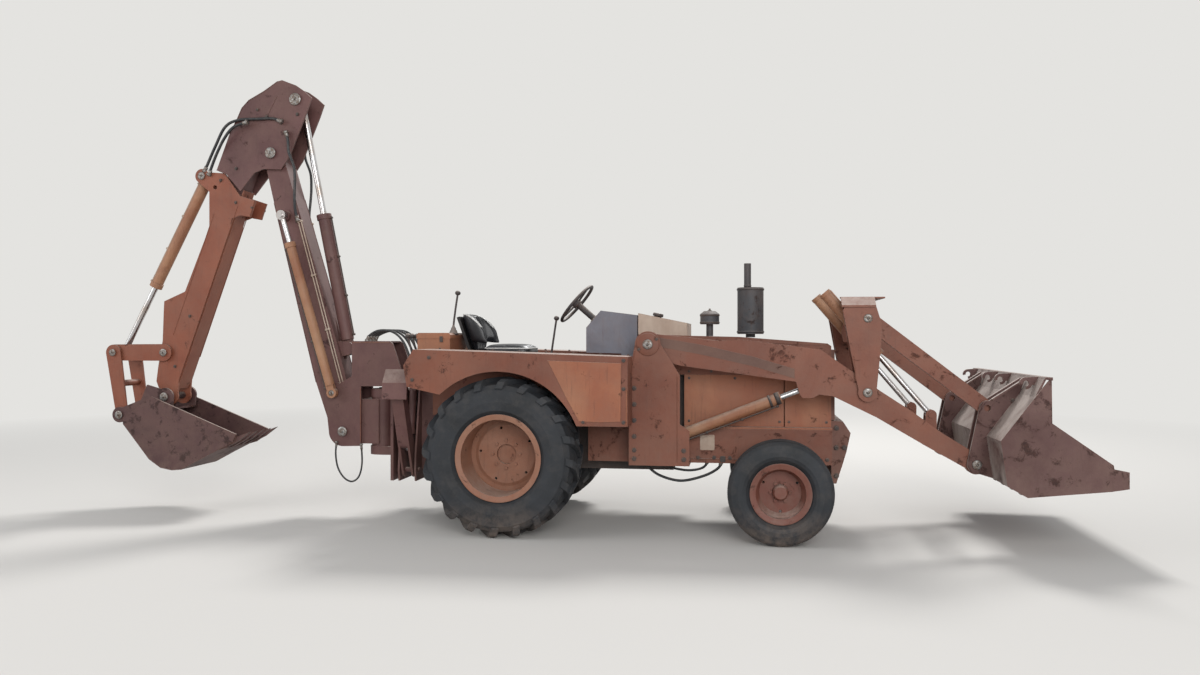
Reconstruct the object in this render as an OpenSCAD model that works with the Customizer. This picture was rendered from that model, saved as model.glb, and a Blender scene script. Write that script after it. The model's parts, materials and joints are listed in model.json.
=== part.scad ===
// Backhoe loader: open-station tractor, front loader, extending rear digger arm.
// Millimetres. X forward, Y left, Z up. Places are written from the rear axle line
// (x = 0) and the ground (z = 0); placed() moves them so that the middle of the
// whole machine is the origin.

/* [Whole machine] */
// Distance from the rear axle to the front axle
wheelbase = 2210; // [2100:10:2300]
// Reach of the machine in front of the rear axle
front_reach = 4644; // [4500:1:4800]
// Reach of the machine behind the rear axle
rear_reach = 4005; // [3900:1:4200]

/* [Rear wheels] */
// Outside diameter of a rear tyre over its lugs
rear_tyre_d = 1280; // [1240:10:1290]
// Width of a rear tyre
rear_tyre_w = 430; // [380:10:440]
// Distance of a rear wheel's middle plane from the centre line
rear_track_half = 802; // [795:1:810]
// Diameter of a rear rim over its flanges
rear_rim_d = 700; // [660:10:740]
// Tread bars on each side of a rear tyre
rear_lugs = 20; // [14:1:24]
// Depth of the tread bars
lug_depth = 34; // [20:1:40]
// Width of a tread bar
lug_w = 50; // [40:1:56]
// Circle of a rear wheel's bolts
rear_bolt_pcd = 228; // [220:2:240]

/* [Front wheels] */
// Outside diameter of a front tyre
front_tyre_d = 810; // [760:10:820]
// Width of a front tyre
front_tyre_w = 286; // [250:2:290]
// Distance of a front wheel's middle plane from the centre line
front_track_half = 856; // [850:1:870]
// Diameter of a front rim over its flanges
front_rim_d = 470; // [440:10:490]
// Depth of the front tyres' grooves
groove_depth = 12; // [6:1:16]
// Distance of a king pin from the centre line
kingpin_half = 600; // [590:1:605]

/* [Chassis] */
// Distance of a frame rail's outer face from the centre line
rail_half = 440; // [430:1:445]
// Thickness of a frame rail
rail_t = 30; // [16:1:40]
// Height of the rails' lower edge
rail_bottom = 566; // [560:1:580]
// Height of the rails' upper edge
rail_top = 850; // [840:1:855]
// Thickness of the loader tower's plates
tower_t = 18; // [12:1:20]

/* [Bodywork] */
// Half width of the hood
hood_half = 350; // [330:1:355]
// Thickness of the sheet metal
sheet_t = 10; // [6:1:12]
// Height of the fender tops at the back
fender_top = 1504; // [1495:1:1510]
// How far the fender tops drop towards the front
fender_fall = 54; // [0:1:60]
// Half width over the fenders
fender_half = 1000; // [1000:1:1020]
// Radius of the wheel arch
arch_r = 690; // [680:5:710]

/* [Loader] */
// Inner face of a lift arm from the centre line
arm_in = 580; // [578:1:584]
// Thickness of a lift arm
arm_t = 70; // [60:1:72]
// Side gap between plates that turn past each other
side_gap = 8; // [6:0.5:9]
// Thickness of lugs, ears and rocker plates
ear_t = 22; // [16:1:24]
// Half width of the loader bucket
bucket_half = 1080; // [1020:10:1100]
// Width of the flanges that stiffen the bucket's lugs
flange_w = 42; // [20:2:50]
// Thickness of the loader bucket's side plates
bucket_t = 16; // [10:1:20]

/* [Loader cylinders] */
// Outside diameter of the lift cylinders
lift_d = 90; // [80:1:96]
// Diameter of the lift rods
lift_rod_d = 50; // [40:1:56]
// Outside diameter of the tilt cylinders
tilt_d = 92; // [80:1:96]
// Diameter of the tilt rods
tilt_rod_d = 45; // [36:1:50]

/* [Digger] */
// Distance of the swing post behind the rear axle
swing_back = 1330; // [1325:1:1335]
// Half width of the boom
boom_half = 105; // [100:1:106]
// Thickness of the boom's and the head's plates
plate_t = 20; // [14:1:22]
// Half width of the digging bucket
hoe_half = 290; // [270:5:295]
// Teeth on the digging bucket
hoe_teeth = 5; // [3:1:6]

/* [Digger cylinders] */
// Outside diameter of the boom cylinders
boom_cyl_d = 84; // [70:1:88]
// Outside diameter of the dipper cylinder
crowd_d = 116; // [100:1:120]
// Outside diameter of the bucket cylinder
curl_d = 100; // [90:1:104]
// Diameter of the rods of the digger cylinders
hoe_rod_d = 56; // [50:1:60]

/* [Stabilisers] */
// Distance of a stabiliser behind the rear axle
stab_back = 900; // [898:1:904]
// Length of a stabiliser leg between its pin and its foot's pin
stab_len = 790; // [760:5:800]
// Angle of the folded leg above the horizontal
stab_fold = 68; // [66:1:70]

/* [Hidden] */
$fn = 48;
eps = 0.01;
axle_x = (rear_reach - front_reach) / 2;

// Pins, as [x, z] in the side view
arm_pin = [1165, 1545];
arm_tip = [3700, 623];
lift_base = [1444, 812];
lift_eye = [2419, 1193];
rocker_pin = [2887, 1170];
rocker_top = [2890, 1750];
bucket_eye = [3778, 1058];
trunnion = [2870, 1614];
tilt_eye = [3400, 986];
arm_tube = [3392, 806];
boom_foot = [-1660, 750];
boom_tip = [-2358, 3293];
boom_cyl_base = [-1740, 1100];
boom_cyl_eye = [-2225, 2713];
crowd_base = [-1660, 1500];
crowd_eye = [-2120, 3777];
curl_base = [-3060, 3105];
curl_eye = [-3928, 1459];
guide_pin = [-3430, 1460];
hoe_eye = [-3840, 878];
hoe_pin = [-3380, 1050];
front_centre = [wheelbase, front_tyre_d / 2];
rear_centre = [0, rear_tyre_d / 2];
swing_x = -swing_back;
// Middle planes of the lift and the tilt cylinders, and their trunnions
lift_y = 525;
tilt_y = 440;
trunnion_r = 20;

// Small tools
function heading(p, q) = atan2(q[1] - p[1], q[0] - p[0]);
function span(p, q) = norm(q - p);
function at(p, a, r) = [p[0] + r * cos(a), p[1] + r * sin(a)];

module placed() translate([axle_x, 0, 0]) children();
module both() { children(); mirror([0, 1, 0]) children(); }
// Plate with its outline in the side view, from y0 to y0 + t
module plate(y0, t) translate([0, y0 + t, 0]) rotate([90, 0, 0]) linear_extrude(t) children();
// Round bar across the machine
module pin(p, r, y0, y1) translate([p[0], y1, p[1]]) rotate([90, 0, 0]) cylinder(r = r, h = y1 - y0);
// Frame whose local x runs from p at angle a in the side view
module along(p, a, y = 0) translate([p[0], y, p[1]]) rotate([0, -a, 0]) children();
// Round bar along the local x
module rod(x0, x1, r) translate([x0, 0, 0]) rotate([0, 90, 0]) cylinder(r = r, h = x1 - x0);
// Box from corner to corner
module block(a, b) translate(a) cube(b - a);
// Flat link outline with round ends
module link2d(p, r1, q, r2) {
    a = heading(p, q);
    k = acos((r1 - r2) / span(p, q));
    translate(p) circle(r1);
    translate(q) circle(r2);
    polygon([at(p, a + k, r1), at(q, a + k, r2), at(q, a - k, r2), at(p, a - k, r1)]);
}

// Cylinder barrel along local x: eye at 0, gland at the far end, bored for its rod
module barrel(len, d, rod_d, eye_r, eye_half, gland = 1.16) {
    difference() {
        union() {
            block([0, -eye_half, -eye_r * 0.75], [eye_r + 30, eye_half, eye_r * 0.75]);
            rod(eye_r + 26, len, d / 2);
            rod(len - 46, len, d / 2 * gland);
            pin([0, 0], eye_r, -eye_half, eye_half);
        }
        rod(eye_r + 60, len + 1, rod_d / 2 + 0.4);
    }
}
// Rod along local x from inside the barrel to its eye at x = reach
module ram(start, reach, rod_d, eye_r, eye_half, pin_half) {
    rod(start, reach - eye_r * 0.6, rod_d / 2);
    pin([reach, 0], eye_r, -eye_half, eye_half);
    pin([reach, 0], eye_r * 0.5, -pin_half, pin_half);
}

// Frame rails, bolster, towers
module tower_plate(y0) plate(y0, tower_t) {
    translate(arm_pin) circle(105);
    polygon([[arm_pin[0] - 105, arm_pin[1]], [1011, 1276], [1011, rail_bottom], [1500, rail_bottom],
        [1500, 850], [1424, 900], [1424, 1294], [arm_pin[0] + 105, arm_pin[1]]]);
}
module chassis() color("#8a4a2c") placed() {
    both() {
        block([640, rail_half - rail_t, rail_bottom], [2640, rail_half, rail_top]);
        difference() {
            tower_plate(arm_in + arm_t + side_gap);
            pin(arm_pin, 32, 0, 900);
        }
        difference() {
            plate(arm_in - side_gap - tower_t, tower_t) {
                translate(arm_pin) circle(105);
                polygon([[1060, arm_pin[1]], [1029, 1276], [1029, 1120], [1400, 1120],
                    [1400, 1294], [arm_pin[0] + 105, arm_pin[1]]]);
            }
            pin(arm_pin, 32, 0, 900);
        }
        pin(arm_pin, 32, arm_in - side_gap - tower_t - 12, arm_in + arm_t + side_gap + tower_t + 12);
        block([1011, rail_half, rail_bottom], [1030, arm_in + arm_t + side_gap + eps, 1276]);
        block([1030 - eps, rail_half, rail_bottom], [1500, arm_in + arm_t + side_gap + eps, 600]);
        difference() {
            union() {
                pin(lift_base, 46, rail_half - 5, lift_y - 53);
                pin(lift_base, 46, lift_y + 53, arm_in + arm_t + side_gap + 5);
            }
            pin(lift_base, trunnion_r + 0.05, lift_y - 75, lift_y + 120);
        }
    }
    block([2600, -rail_half + rail_t, rail_bottom], [2640, rail_half - rail_t, rail_top]);
    block([1900, -rail_half + rail_t, rail_bottom], [1920, rail_half - rail_t, 610]);
    block([wheelbase - 150, -rail_half + rail_t, 610], [wheelbase + 150, rail_half - rail_t, 640]);
    for (x = [wheelbase - 130, wheelbase + 90]) difference() {
        block([x, -110, 400], [x + 40, 110, 610 + eps]);
        translate([x - 1, 0, 470]) rotate([0, 90, 0]) cylinder(r = 30.05, h = 42);
    }
}
module drivetrain() color("#4a3a34") placed() {
    block([-260, -240, 420], [300, 240, 880]);
    block([300, -200, 470], [1340, 200, 860]);
    both() {
        pin(rear_centre, 120, 239, 420);
        pin(rear_centre, 95, 420, 600);
        pin(rear_centre, 150, 600, 640);
    }
    block([640, -rail_half + rail_t, 700], [700, -199, 800]);
    block([640, 199, 700], [700, rail_half - rail_t, 800]);
}
module engine_block() color("#5a4a40") placed() block([1345, -230, 640.3], [2180, 230, 1280]);
module hood() color("#9a5a3a") placed() {
    difference() {
        plate(-hood_half, 2 * hood_half)
            polygon([[1060, 1290], [1060, 1625], [1900, 1605], [2610, 1551], [2640, 1530], [2640, 1290]]);
        plate(-hood_half + sheet_t, 2 * (hood_half - sheet_t))
            polygon([[1060 + sheet_t, 1200], [1060 + sheet_t, 1614], [1900, 1594], [2608, 1540],
                [2630, 1524], [2630, 1200]]);
    }
}
module side_panels() color("#c8703a") placed() both() {
    block([1440, hood_half - 12, rail_top + 0.3], [2258, hood_half + 2, 1289.7]);
    block([2266, hood_half - 12, rail_top + 0.3], [2639.7, hood_half + 2, 1289.7]);
    block([1440, hood_half, rail_top + 0.3], [2639.7, rail_half - 5.3, rail_top + 14]);
}
module nose_weight() color("#7d4a36") placed() {
    plate(-350, 700)
        polygon([[2640.3, 919], [2734, 913], [2794, 820], [2762, 672], [2734, 573], [2680, 405], [2640.3, 405]]);
    difference() {
        block([2640.3, -340, 925], [2668, 340, 1500]);
        for (z = [960:60:1440]) block([2650, -300, z], [2670, 300, z + 30]);
    }
}
module cowl() color("#8f8d92") placed() difference() {
    plate(-300, 600)
        polygon([[600, 1470], [600, 1685], [725, 1830], [1040, 1790], [1040, 880], [950, 880], [950, 960], [900, 1464]]);
    plate(-290, 580)
        polygon([[590, 1480], [590, 1660], [735, 1815], [1030, 1780], [1030, 870], [960, 870], [912, 1480]]);
}
module hood_tank() color("#b88a66") placed() {
    plate(-330, 660) polygon([[1050, 1625.3], [1050, 1806], [1462, 1722], [1462, 1615.8]]);
}
module deck() color("#6b4332") placed() {
    block([-520, -494.7, 940], [949.7, 494.7, 955]);
    block([-240, -200, 880.3], [-160, 200, 940 + eps]);
    both() block([660, 412, rail_top + 0.3], [720, 438, 940 + eps]);
}
// Outline that stands on z = low and ends dz under the sloping fender top
function fender_z(x) = fender_top - fender_fall * (x + 693) / 1733;
module under_fender(x0, x1, low, dz) polygon([[x0, low], [x1, low], [x1, fender_z(x1) - dz], [x0, fender_z(x0) - dz]]);
module fender_sheet(x0, x1) polygon([[x0, fender_z(x0) - sheet_t], [x1, fender_z(x1) - sheet_t],
    [x1, fender_z(x1)], [x0, fender_z(x0)]]);
module fenders() color("#9a5638") placed() both() {
    plate(505, fender_half - 505) fender_sheet(-693, 1005);
    plate(690, fender_half - 690) fender_sheet(1004, 1040);
    plate(495, 10 + eps) under_fender(-693, 1005, 940, 0);
    plate(690, fender_half - sheet_t - 690 + eps) under_fender(1030, 1040, 906, 1);
    difference() {
        plate(fender_half - sheet_t, sheet_t)
            polygon([[-776, 1375], [-693, fender_z(-693)], [1040, fender_z(1040)], [1032, 906], [600, 906], [-746, 1203]]);
        pin(rear_centre, arch_r, fender_half - 60, fender_half + 60);
    }
}
module side_tanks() color("#a2603c") placed() both() {
    tank_out = fender_half - sheet_t - 0.3;
    plate(505.3, tank_out - 505.3) under_fender(700, 1004.7, 910, sheet_t + 0.3);
    plate(690, tank_out - 690) under_fender(1000, 1029.7, 910, sheet_t + 0.3);
}
// Tool box behind the seat: it stands on the rear frame between the stabilisers' lugs
module rear_box() color("#b8643a") placed() {
    block([-860, -335, 1140.3], [-570, 335, 1262]);
    plate(-420, 840) polygon([[-860, 1250], [-570, 1250], [-570, 1604], [-582, 1616], [-848, 1616], [-860, 1604]]);
    plate(-426, 852) polygon([[-868, 1590], [-562, 1590], [-562, 1622], [-580, 1640], [-850, 1640], [-868, 1622]]);
}
module seat_base() color("#3a3432") placed() {
    block([-380, -180, 955.3], [60, 180, 1380]);
    block([-420, -230, 1380], [100, 230, 1410]);
    along([-420, 1410], 110) block([-20, -190, 0], [400, 190, 25]);
}
module seat_pads() color("#222226") placed() {
    block([-360, -240, 1410.3], [110, 240, 1540]);
    along([-420, 1410], 110) block([80, -235, -110], [440, 235, -0.3]);
}
module steering_post() color("#35302e") placed() {
    along([649.6, 1743.4], 139.2) {
        rod(0, 235, 28);
        rod(222, 262, 45);
        translate([240, 0, 0]) rotate([0, 90, 0]) rotate_extrude() translate([200, 0]) circle(14);
        for (a = [30, 150, 270]) translate([240, 0, 0]) rotate([a, 0, 0]) translate([0, 0, 30]) cylinder(r = 9, h = 165);
    }
}
module exhaust() color("#3c3230") placed() {
    translate([1990, 0, 1601.5]) cylinder(r = 40, h = 29);
    translate([1990, 0, 1630]) cylinder(r = 112, h = 400);
    translate([1965, 0, 2030]) cylinder(r = 30, h = 210);
}
module air_cleaner() color("#3a3634") placed() {
    translate([1640, 0, 1612.2]) cylinder(r = 30, h = 118);
    translate([1640, 0, 1715]) cylinder(r = 82, h = 90);
    translate([1640, 0, 1804.99]) cylinder(r1 = 82, r2 = 50, h = 25);
}
module front_axle() color("#7a4632") placed() {
    difference() {
        union() {
            block([wheelbase - 60, -565, 410], [wheelbase + 60, 565, 530]);
            both() translate([wheelbase, kingpin_half, 410]) cylinder(r = 60, h = 120);
        }
        both() translate([wheelbase, kingpin_half, 400]) cylinder(r = 22, h = 200);
        translate([wheelbase - 200, 0, 470]) rotate([0, 90, 0]) cylinder(r = 30, h = 400);
    }
    translate([wheelbase - 128, 0, 470]) rotate([0, 90, 0]) cylinder(r = 30, h = 256);
}
// Bolted up from a rear plate with the king arms, two cross plates, a deck strip, a front
// box and the pins, a fitting gap apart, so that the stabilisers' slots stay open
module rear_frame() color("#74402e") placed() {
    x0 = -1050;
    gap = 0.3;
    cross = [-stab_back - 80, -stab_back + 65];
    cross_t = 15;
    difference() {
        block([x0, -560, 380], [x0 + 25, 560, 1140]);
        block([x0 - 1, -90, 640], [x0 + 26, 90, 1040]);
    }
    block([x0 + 25 - eps, -440, 1125], [cross[0] - gap, 440, 1140]);
    difference() {
        union() for (z = [540, 1060]) {
            block([swing_x, -115, z], [x0 + eps, 115, z + 75]);
            translate([swing_x, 0, z]) cylinder(r = 115, h = 75);
        }
        translate([swing_x, 0, 500]) cylinder(r = 40, h = 700);
    }
    translate([swing_x, 0, 530]) cylinder(r = 39.95, h = 615);
    for (x = cross) translate([x, 0, 0]) rotate([90, 0, 90]) linear_extrude(cross_t) difference() {
        polygon([[-560, 380], [560, 380], [575, 470], [560, 620], [450, 1200], [430, 1236], [370, 1236],
            [350, 1140], [-350, 1140], [-370, 1236], [-430, 1236], [-450, 1200], [-560, 620], [-575, 470]]);
        for (s = [-1, 1]) translate([s * stab_pin[0], stab_pin[1]]) circle(22 + gap);
        for (s = [-1, 1]) translate([s * stab_cyl_base[0], stab_cyl_base[1]]) circle(18 + gap);
    }
    both() {
        translate([-stab_back - 92, stab_pin[0], stab_pin[1]]) rotate([0, 90, 0]) cylinder(r = 22, h = 184);
        translate([-stab_back - 90, stab_cyl_base[0], stab_cyl_base[1]]) rotate([0, 90, 0]) cylinder(r = 18, h = 180);
    }
    block([cross[0] + cross_t + gap, -340, 1125], [cross[1] - gap, 340, 1140]);
    block([cross[1] + cross_t + gap, -420, 1125], [-540, 420, 1140]);
    both() {
        block([cross[1] + cross_t + gap, 400, 470], [-540, 420, 1125 + eps]);
        block([-540 - eps, 400, 470], [-230, 420, 880]);
        block([-700, 240, 540], [-260.3, 260, 860]);
        block([-720, 240, 540], [-700 + eps, 400 + eps, 860]);
    }
}
module hoe_levers() color("#4a4442") placed() {
    block([-960, -300, 1140.3], [-870, 300, 1230]);
    for (y = [-240:120:240]) translate([-915, y, 1225]) rotate([0, -14, 0]) {
        cylinder(r = 9, h = 400);
        translate([0, 0, 400]) sphere(24);
    }
}

// Wheels: half is the middle plane's distance from the centre line. A tyre's section is
// written as [radius, distance from the middle plane], for one side from bead to tread
function two_sides(h) = concat([for (p = h) [p[0], -p[1]]], [for (i = [len(h) - 1:-1:0]) h[i]]);
function sidewall(d, w, rim_d) = let (bead = rim_d / 2 - 30)
    [[bead, w / 2 - 42], [bead + 33, w / 2 - 42], [bead + 60, w / 2 - 10], [bead + w * 0.3, w / 2]];
module turned(c, half) translate([c[0], half, c[1]]) rotate([90, 0, 0]) rotate_extrude($fn = 96) children();
// One tread bar: it starts past the middle, slants outwards and runs over the shoulder
module tread_bar(r) rotate([90, 0, 90]) translate([0, 0, r - 130]) linear_extrude(150)
    polygon([[-75 - lug_w / 2, -14], [-75 + lug_w / 2, -14], [-20 + lug_w / 2, 60], [96 + lug_w / 2, 240],
        [88 - lug_w / 2, 240], [-24 - lug_w / 2, 60]]);
module rear_tyre() {
    r = rear_tyre_d / 2;
    w = rear_tyre_w / 2;
    turned(rear_centre, rear_track_half) polygon(two_sides(concat(sidewall(rear_tyre_d, rear_tyre_w, rear_rim_d),
        [[r - 100, w - 6], [r - lug_depth - 24, w - 34], [r - lug_depth, w / 3]])));
    intersection() {
        turned(rear_centre, rear_track_half)
            polygon(two_sides([[r - 112, w - 26], [r - 82, w - 1], [r - 32, w - 20], [r - 8, w - 48], [r, w / 3]]));
        translate([rear_centre[0], rear_track_half, rear_centre[1]]) rotate([90, 0, 0])
            for (i = [0:rear_lugs - 1], s = [0, 1])
                rotate([0, 0, 360 / rear_lugs * (i + s / 2)]) mirror([0, 0, s]) tread_bar(r);
    }
}
module front_tyre() {
    r = front_tyre_d / 2;
    w = front_tyre_w / 2;
    grooves = [for (z = [1, 0, -1] * w * 0.36, k = [-9, -6, 6, 9]) [r - (abs(k) < 7 ? groove_depth : 0), k - z]];
    side = concat(sidewall(front_tyre_d, front_tyre_w, front_rim_d),
        [[r - 80, w - 2], [r - 30, w - 20], [r - 7, w - 42], [r, w * 0.5]]);
    turned(front_centre, front_track_half)
        polygon(concat([for (p = side) [p[0], -p[1]]], grooves, [for (i = [len(side) - 1:-1:0]) side[i]]));
}
// Rim profile: x is the radius, y the distance outwards from the middle plane. The disc
// lies at disc, its edge at disc + dish. The children are the hub
module rim(c, rim_d, w, half, disc, dish, bore_r, bolts, bolt_pcd, holes) {
    r = rim_d / 2;
    wr = r - 30.3;
    e = w / 2 - 40;
    difference() {
        translate([c[0], half, c[1]]) rotate([-90, 0, 0]) rotate_extrude($fn = 72)
            polygon([[bore_r, disc], [r * 0.68, disc], [r * 0.76, disc + dish * 0.7], [wr - 14, disc + dish],
                [wr - 14, e], [r - 8, e + 10], [r, e + 10], [r, e], [wr, e],
                [wr, -e], [r, -e], [r, -e - 10], [r - 8, -e - 10],
                [wr - 14, -e], [wr - 14, disc + dish - 16], [r * 0.77, disc + dish * 0.7 - 16], [r * 0.69, disc - 14],
                [bore_r, disc - 14]]);
        for (i = [0:holes - 1]) pin(at(c, 360 / holes * i + 30, r * 0.63), 11, half + disc - 60, half + disc + 60);
    }
    translate([c[0], half, c[1]]) rotate([-90, 0, 0]) rotate_extrude($fn = 72) children();
    for (i = [0:bolts - 1]) pin(at(c, 360 / bolts * i, bolt_pcd / 2), 12, half + disc - eps, half + disc + 20);
}
// The rear hub is a deep cup in the disc, the front hub a cap
module rear_rim() rim(rear_centre, rear_rim_d, rear_tyre_w, rear_track_half, -112, -20, 82, 8, rear_bolt_pcd, 5)
    polygon([[0, 640.3 - rear_track_half], [112, 640.3 - rear_track_half], [112, -125], [82 - eps, -125],
        [82 - eps, -146], [0, -146]]);
module front_rim() rim(front_centre, front_rim_d, front_tyre_w, front_track_half, -10, 60, 62, 6, 150, 3)
    polygon([[0, -24], [62 + eps, -24], [62 + eps, -10], [58, 34], [46, 50], [0, 50]]);

module knuckle() {
    difference() {
        union() {
            translate([wheelbase, kingpin_half, 350]) cylinder(r = 58, h = 52);
            translate([wheelbase, kingpin_half, 538]) cylinder(r = 58, h = 40);
            block([wheelbase - 45, kingpin_half + 66, 350], [wheelbase + 45, kingpin_half + 96, 578]);
            block([wheelbase - 45, kingpin_half, 350], [wheelbase + 45, kingpin_half + 70, 402]);
            block([wheelbase - 45, kingpin_half, 538], [wheelbase + 45, kingpin_half + 70, 578]);
        }
        translate([wheelbase, kingpin_half, 300]) cylinder(r = 21.95, h = 400);
    }
    translate([wheelbase, kingpin_half, 345]) cylinder(r = 21.95, h = 240);
    pin(front_centre, 42, kingpin_half + 95, front_track_half - 24.3);
    block([wheelbase - 190, kingpin_half - 60, 360], [wheelbase - 40, kingpin_half - 10, 390]);
    block([wheelbase - 60, kingpin_half - 60, 360], [wheelbase + 20, kingpin_half + 10, 390]);
}
module tie_rod() color("#3d3532") placed() {
    translate([wheelbase - 170, -(kingpin_half - 35), 341]) rotate([-90, 0, 0])
        cylinder(r = 16, h = 2 * (kingpin_half - 35));
    both() translate([wheelbase - 170, kingpin_half - 35, 322]) cylinder(r = 24, h = 37.5);
}

// Loader
module arm_outline() {
    translate(arm_pin) circle(95);
    translate(arm_tip) circle(78);
    polygon([at(arm_pin, 88, 90), [1738, 1572], [1909, 1584], [2530, 1505], [2816, 1302], [2990, 1180],
        [3224, 1026], [3452, 859], at(arm_tip, 55, 70), at(arm_tip, 220, 70), [3329, 757], [2958, 975],
        [2624, 1138], [2520, 1150], [2470, 1122], [2390, 1122], [2370, 1150], [2340, 1250], [1423, 1374],
        at(arm_pin, 262, 90)]);
}
module loader_arms() color("#8c5036") placed() {
    both() {
        difference() {
            plate(arm_in, arm_t) arm_outline();
            pin(arm_pin, 32.05, 0, 900);
            pin(arm_tip, 28.05, 0, 900);
            pin(rocker_pin, 28.05, 0, 900);
        }
        pin(lift_eye, 36, 565, arm_in + 10);
        for (y = [391, 471]) plate(y, 18) link2d(tilt_eye, 42, arm_tube, 46);
        pin(tilt_eye, 24, 381, 391 + eps);
        pin(tilt_eye, 24, 489 - eps, 499);
    }
    pin(arm_tube, 56, -arm_in - 10, arm_in + 10);
}
lift_a = heading(lift_base, lift_eye);
lift_reach = span(lift_base, lift_eye);
// Barrel hung at its middle: a tube with a tail cap, a band round the trunnion and a gland
module hung_barrel(tail, front, d, rod_d, band) difference() {
    union() {
        rod(-tail, front, d / 2);
        rod(-tail, 30 - tail, d / 2 + 3);
        rod(-band, band, d / 2 + 4);
        rod(front - 40, front, d / 2 * 1.12);
    }
    rod(12 - tail, front + 1, rod_d / 2 + 0.4);
}
module lift_barrels() color("#8a5238") placed() both() {
    along(lift_base, lift_a, lift_y) hung_barrel(158, 840, lift_d, lift_rod_d, 32);
    pin(lift_base, trunnion_r, lift_y - 70, lift_y - lift_d / 2 + 10);
    pin(lift_base, trunnion_r, lift_y + lift_d / 2 - 10, lift_y + 115);
}
module lift_rods() color("#c9c9cc") placed() both()
    along(lift_base, lift_a, lift_y) ram(-45, lift_reach, lift_rod_d, 44, 26, 38);

rocker_y = arm_in - side_gap - ear_t;
rocker_out = arm_in + arm_t + side_gap;
module rocker_outline(top) {
    translate(rocker_pin) circle(72);
    polygon([[2819, 1186], [2757, 1500], [2700, top - 40], [2722, top], [2950, top], [2996, 1700], [2985, 1500],
        [2955, 1186]]);
}
// Folded cap over a rocker, seen from the front: flat, then falling outwards
cap_top = 1922;
module cap_section(out) polygon([[530, cap_top - 12], [596, cap_top - 12], [out, cap_top - 12 - (out - 596) * 0.75],
    [out, cap_top - (out - 600) * 0.75], [600, cap_top], [530, cap_top]]);
module rockers() color("#85503a") placed() {
    both() {
        difference() {
            union() {
                plate(rocker_y, ear_t) rocker_outline(cap_top - 6);
                plate(rocker_out, ear_t) rocker_outline(cap_top - 72);
            }
            pin(rocker_top, 26.05, 0, 900);
            pin(trunnion, 30.05, 0, 500 + 100);
        }
        pin(rocker_pin, 28, rocker_y - 8, rocker_out + ear_t + 8);
        difference() {
            plate(335, 20) polygon([[2810, 1560], [2790, 1640], [2850, cap_top - 6], [2985, cap_top - 6], [2970, 1600],
                [2900, 1550]]);
            pin(trunnion, 30.05, 0, 600);
        }
        translate([2690, 0, 0]) rotate([90, 0, 90]) linear_extrude(260) cap_section(rocker_out + ear_t + 12);
        block([2940, 530, cap_top - 12], [3035, rocker_y + ear_t - 1, cap_top]);
        block([2776, -eps, cap_top - 12], [3035, 530 + eps, cap_top]);
    }
}
tilt_a = heading(trunnion, tilt_eye);
tilt_reach = span(trunnion, tilt_eye);
module tilt_barrels() color("#9c6242") placed() both() {
    along(trunnion, tilt_a, tilt_y) {
        hung_barrel(457, 205, tilt_d, tilt_rod_d, 38);
        block([-440, -22, tilt_d / 2 - 4], [150, 22, tilt_d / 2 + 6]);
    }
    pin(trunnion, 30, 335, tilt_y - tilt_d / 2 + 6);
    pin(trunnion, 30, tilt_y + tilt_d / 2 - 6, 572);
}
module tilt_rods() color("#d2d3d6") placed() both()
    along(trunnion, tilt_a, tilt_y) ram(103, tilt_reach, tilt_rod_d, 38, 24, 0.5);
module bucket_links() color("#8a5438") placed() both() {
    difference() {
        plate(arm_in + 5, arm_t - 10) link2d(rocker_top, 62, bucket_eye, 58);
        pin(rocker_top, 26.05, 0, 900);
    }
    pin(rocker_top, 26, rocker_y - 4, rocker_out + ear_t + 4);
}
lug_top = [4050, 1290];
bucket_side = [[4120, 1313], [4124, 982], [4537, 688], [4542, 660], [4643, 640], [4643, 520], [4524, 499],
    [3957, 441], [3818, 522], [3772, 849], [4010, 1171]];
module loader_bucket() color("#6e3e34") placed() {
    both() plate(bucket_half - bucket_t, bucket_t) polygon(bucket_side);
    plate(-bucket_half + bucket_t - eps, 2 * (bucket_half - bucket_t + eps)) difference() {
        polygon([[4120, 1313], [4643, 540], [4643, 520], [4524, 499], [3957, 441], [3818, 522], [3772, 849],
            [4010, 1171], [4080, 1313]]);
        polygon([[4103, 1400], [4094, 1310], [4024, 1160], [3788, 843], [3832, 532], [3963, 458], [4524, 517],
            [4660, 545], [4800, 1400]]);
    }
    both() for (y = [arm_in - side_gap - ear_t, arm_in + arm_t + side_gap]) difference() {
        plate(y, ear_t) {
            translate(arm_tip) circle(70);
            translate(bucket_eye) circle(58);
            polygon([at(arm_tip, 170, 70), at(bucket_eye, 170, 58), at(bucket_eye, 80, 58), lug_top, [4010, 1171],
                [3772, 849], [3818, 522], at(arm_tip, 280, 70)]);
        }
        pin(bucket_eye, 26, 0, 900);
    }
    // Flanges along the lugs' upper edges, on the side away from the links
    both() for (y = [arm_in - side_gap - flange_w, arm_in + arm_t + side_gap])
        along(at(bucket_eye, 80, 58), heading(at(bucket_eye, 80, 58), lug_top), y)
            block([24, 0, -12], [span(at(bucket_eye, 80, 58), lug_top) - 6, flange_w, 2]);
    both() pin(arm_tip, 28, arm_in - side_gap - ear_t - 6, arm_in + arm_t + side_gap + ear_t + 6);
    // Rolled lip along the top edge, hooks on the back, wear strips under the floor
    plate(-bucket_half + eps, 2 * (bucket_half - eps)) polygon([[4072, 1296], [4128, 1290], [4128, 1313], [4078, 1313]]);
    both() for (y = [190, 890]) plate(y, 24) hook();
    both() for (y = [120:240:900]) plate(y, 60) polygon([[3957, 443], [3960, 434], [4500, 488], [4500, 501]]);
}
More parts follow.
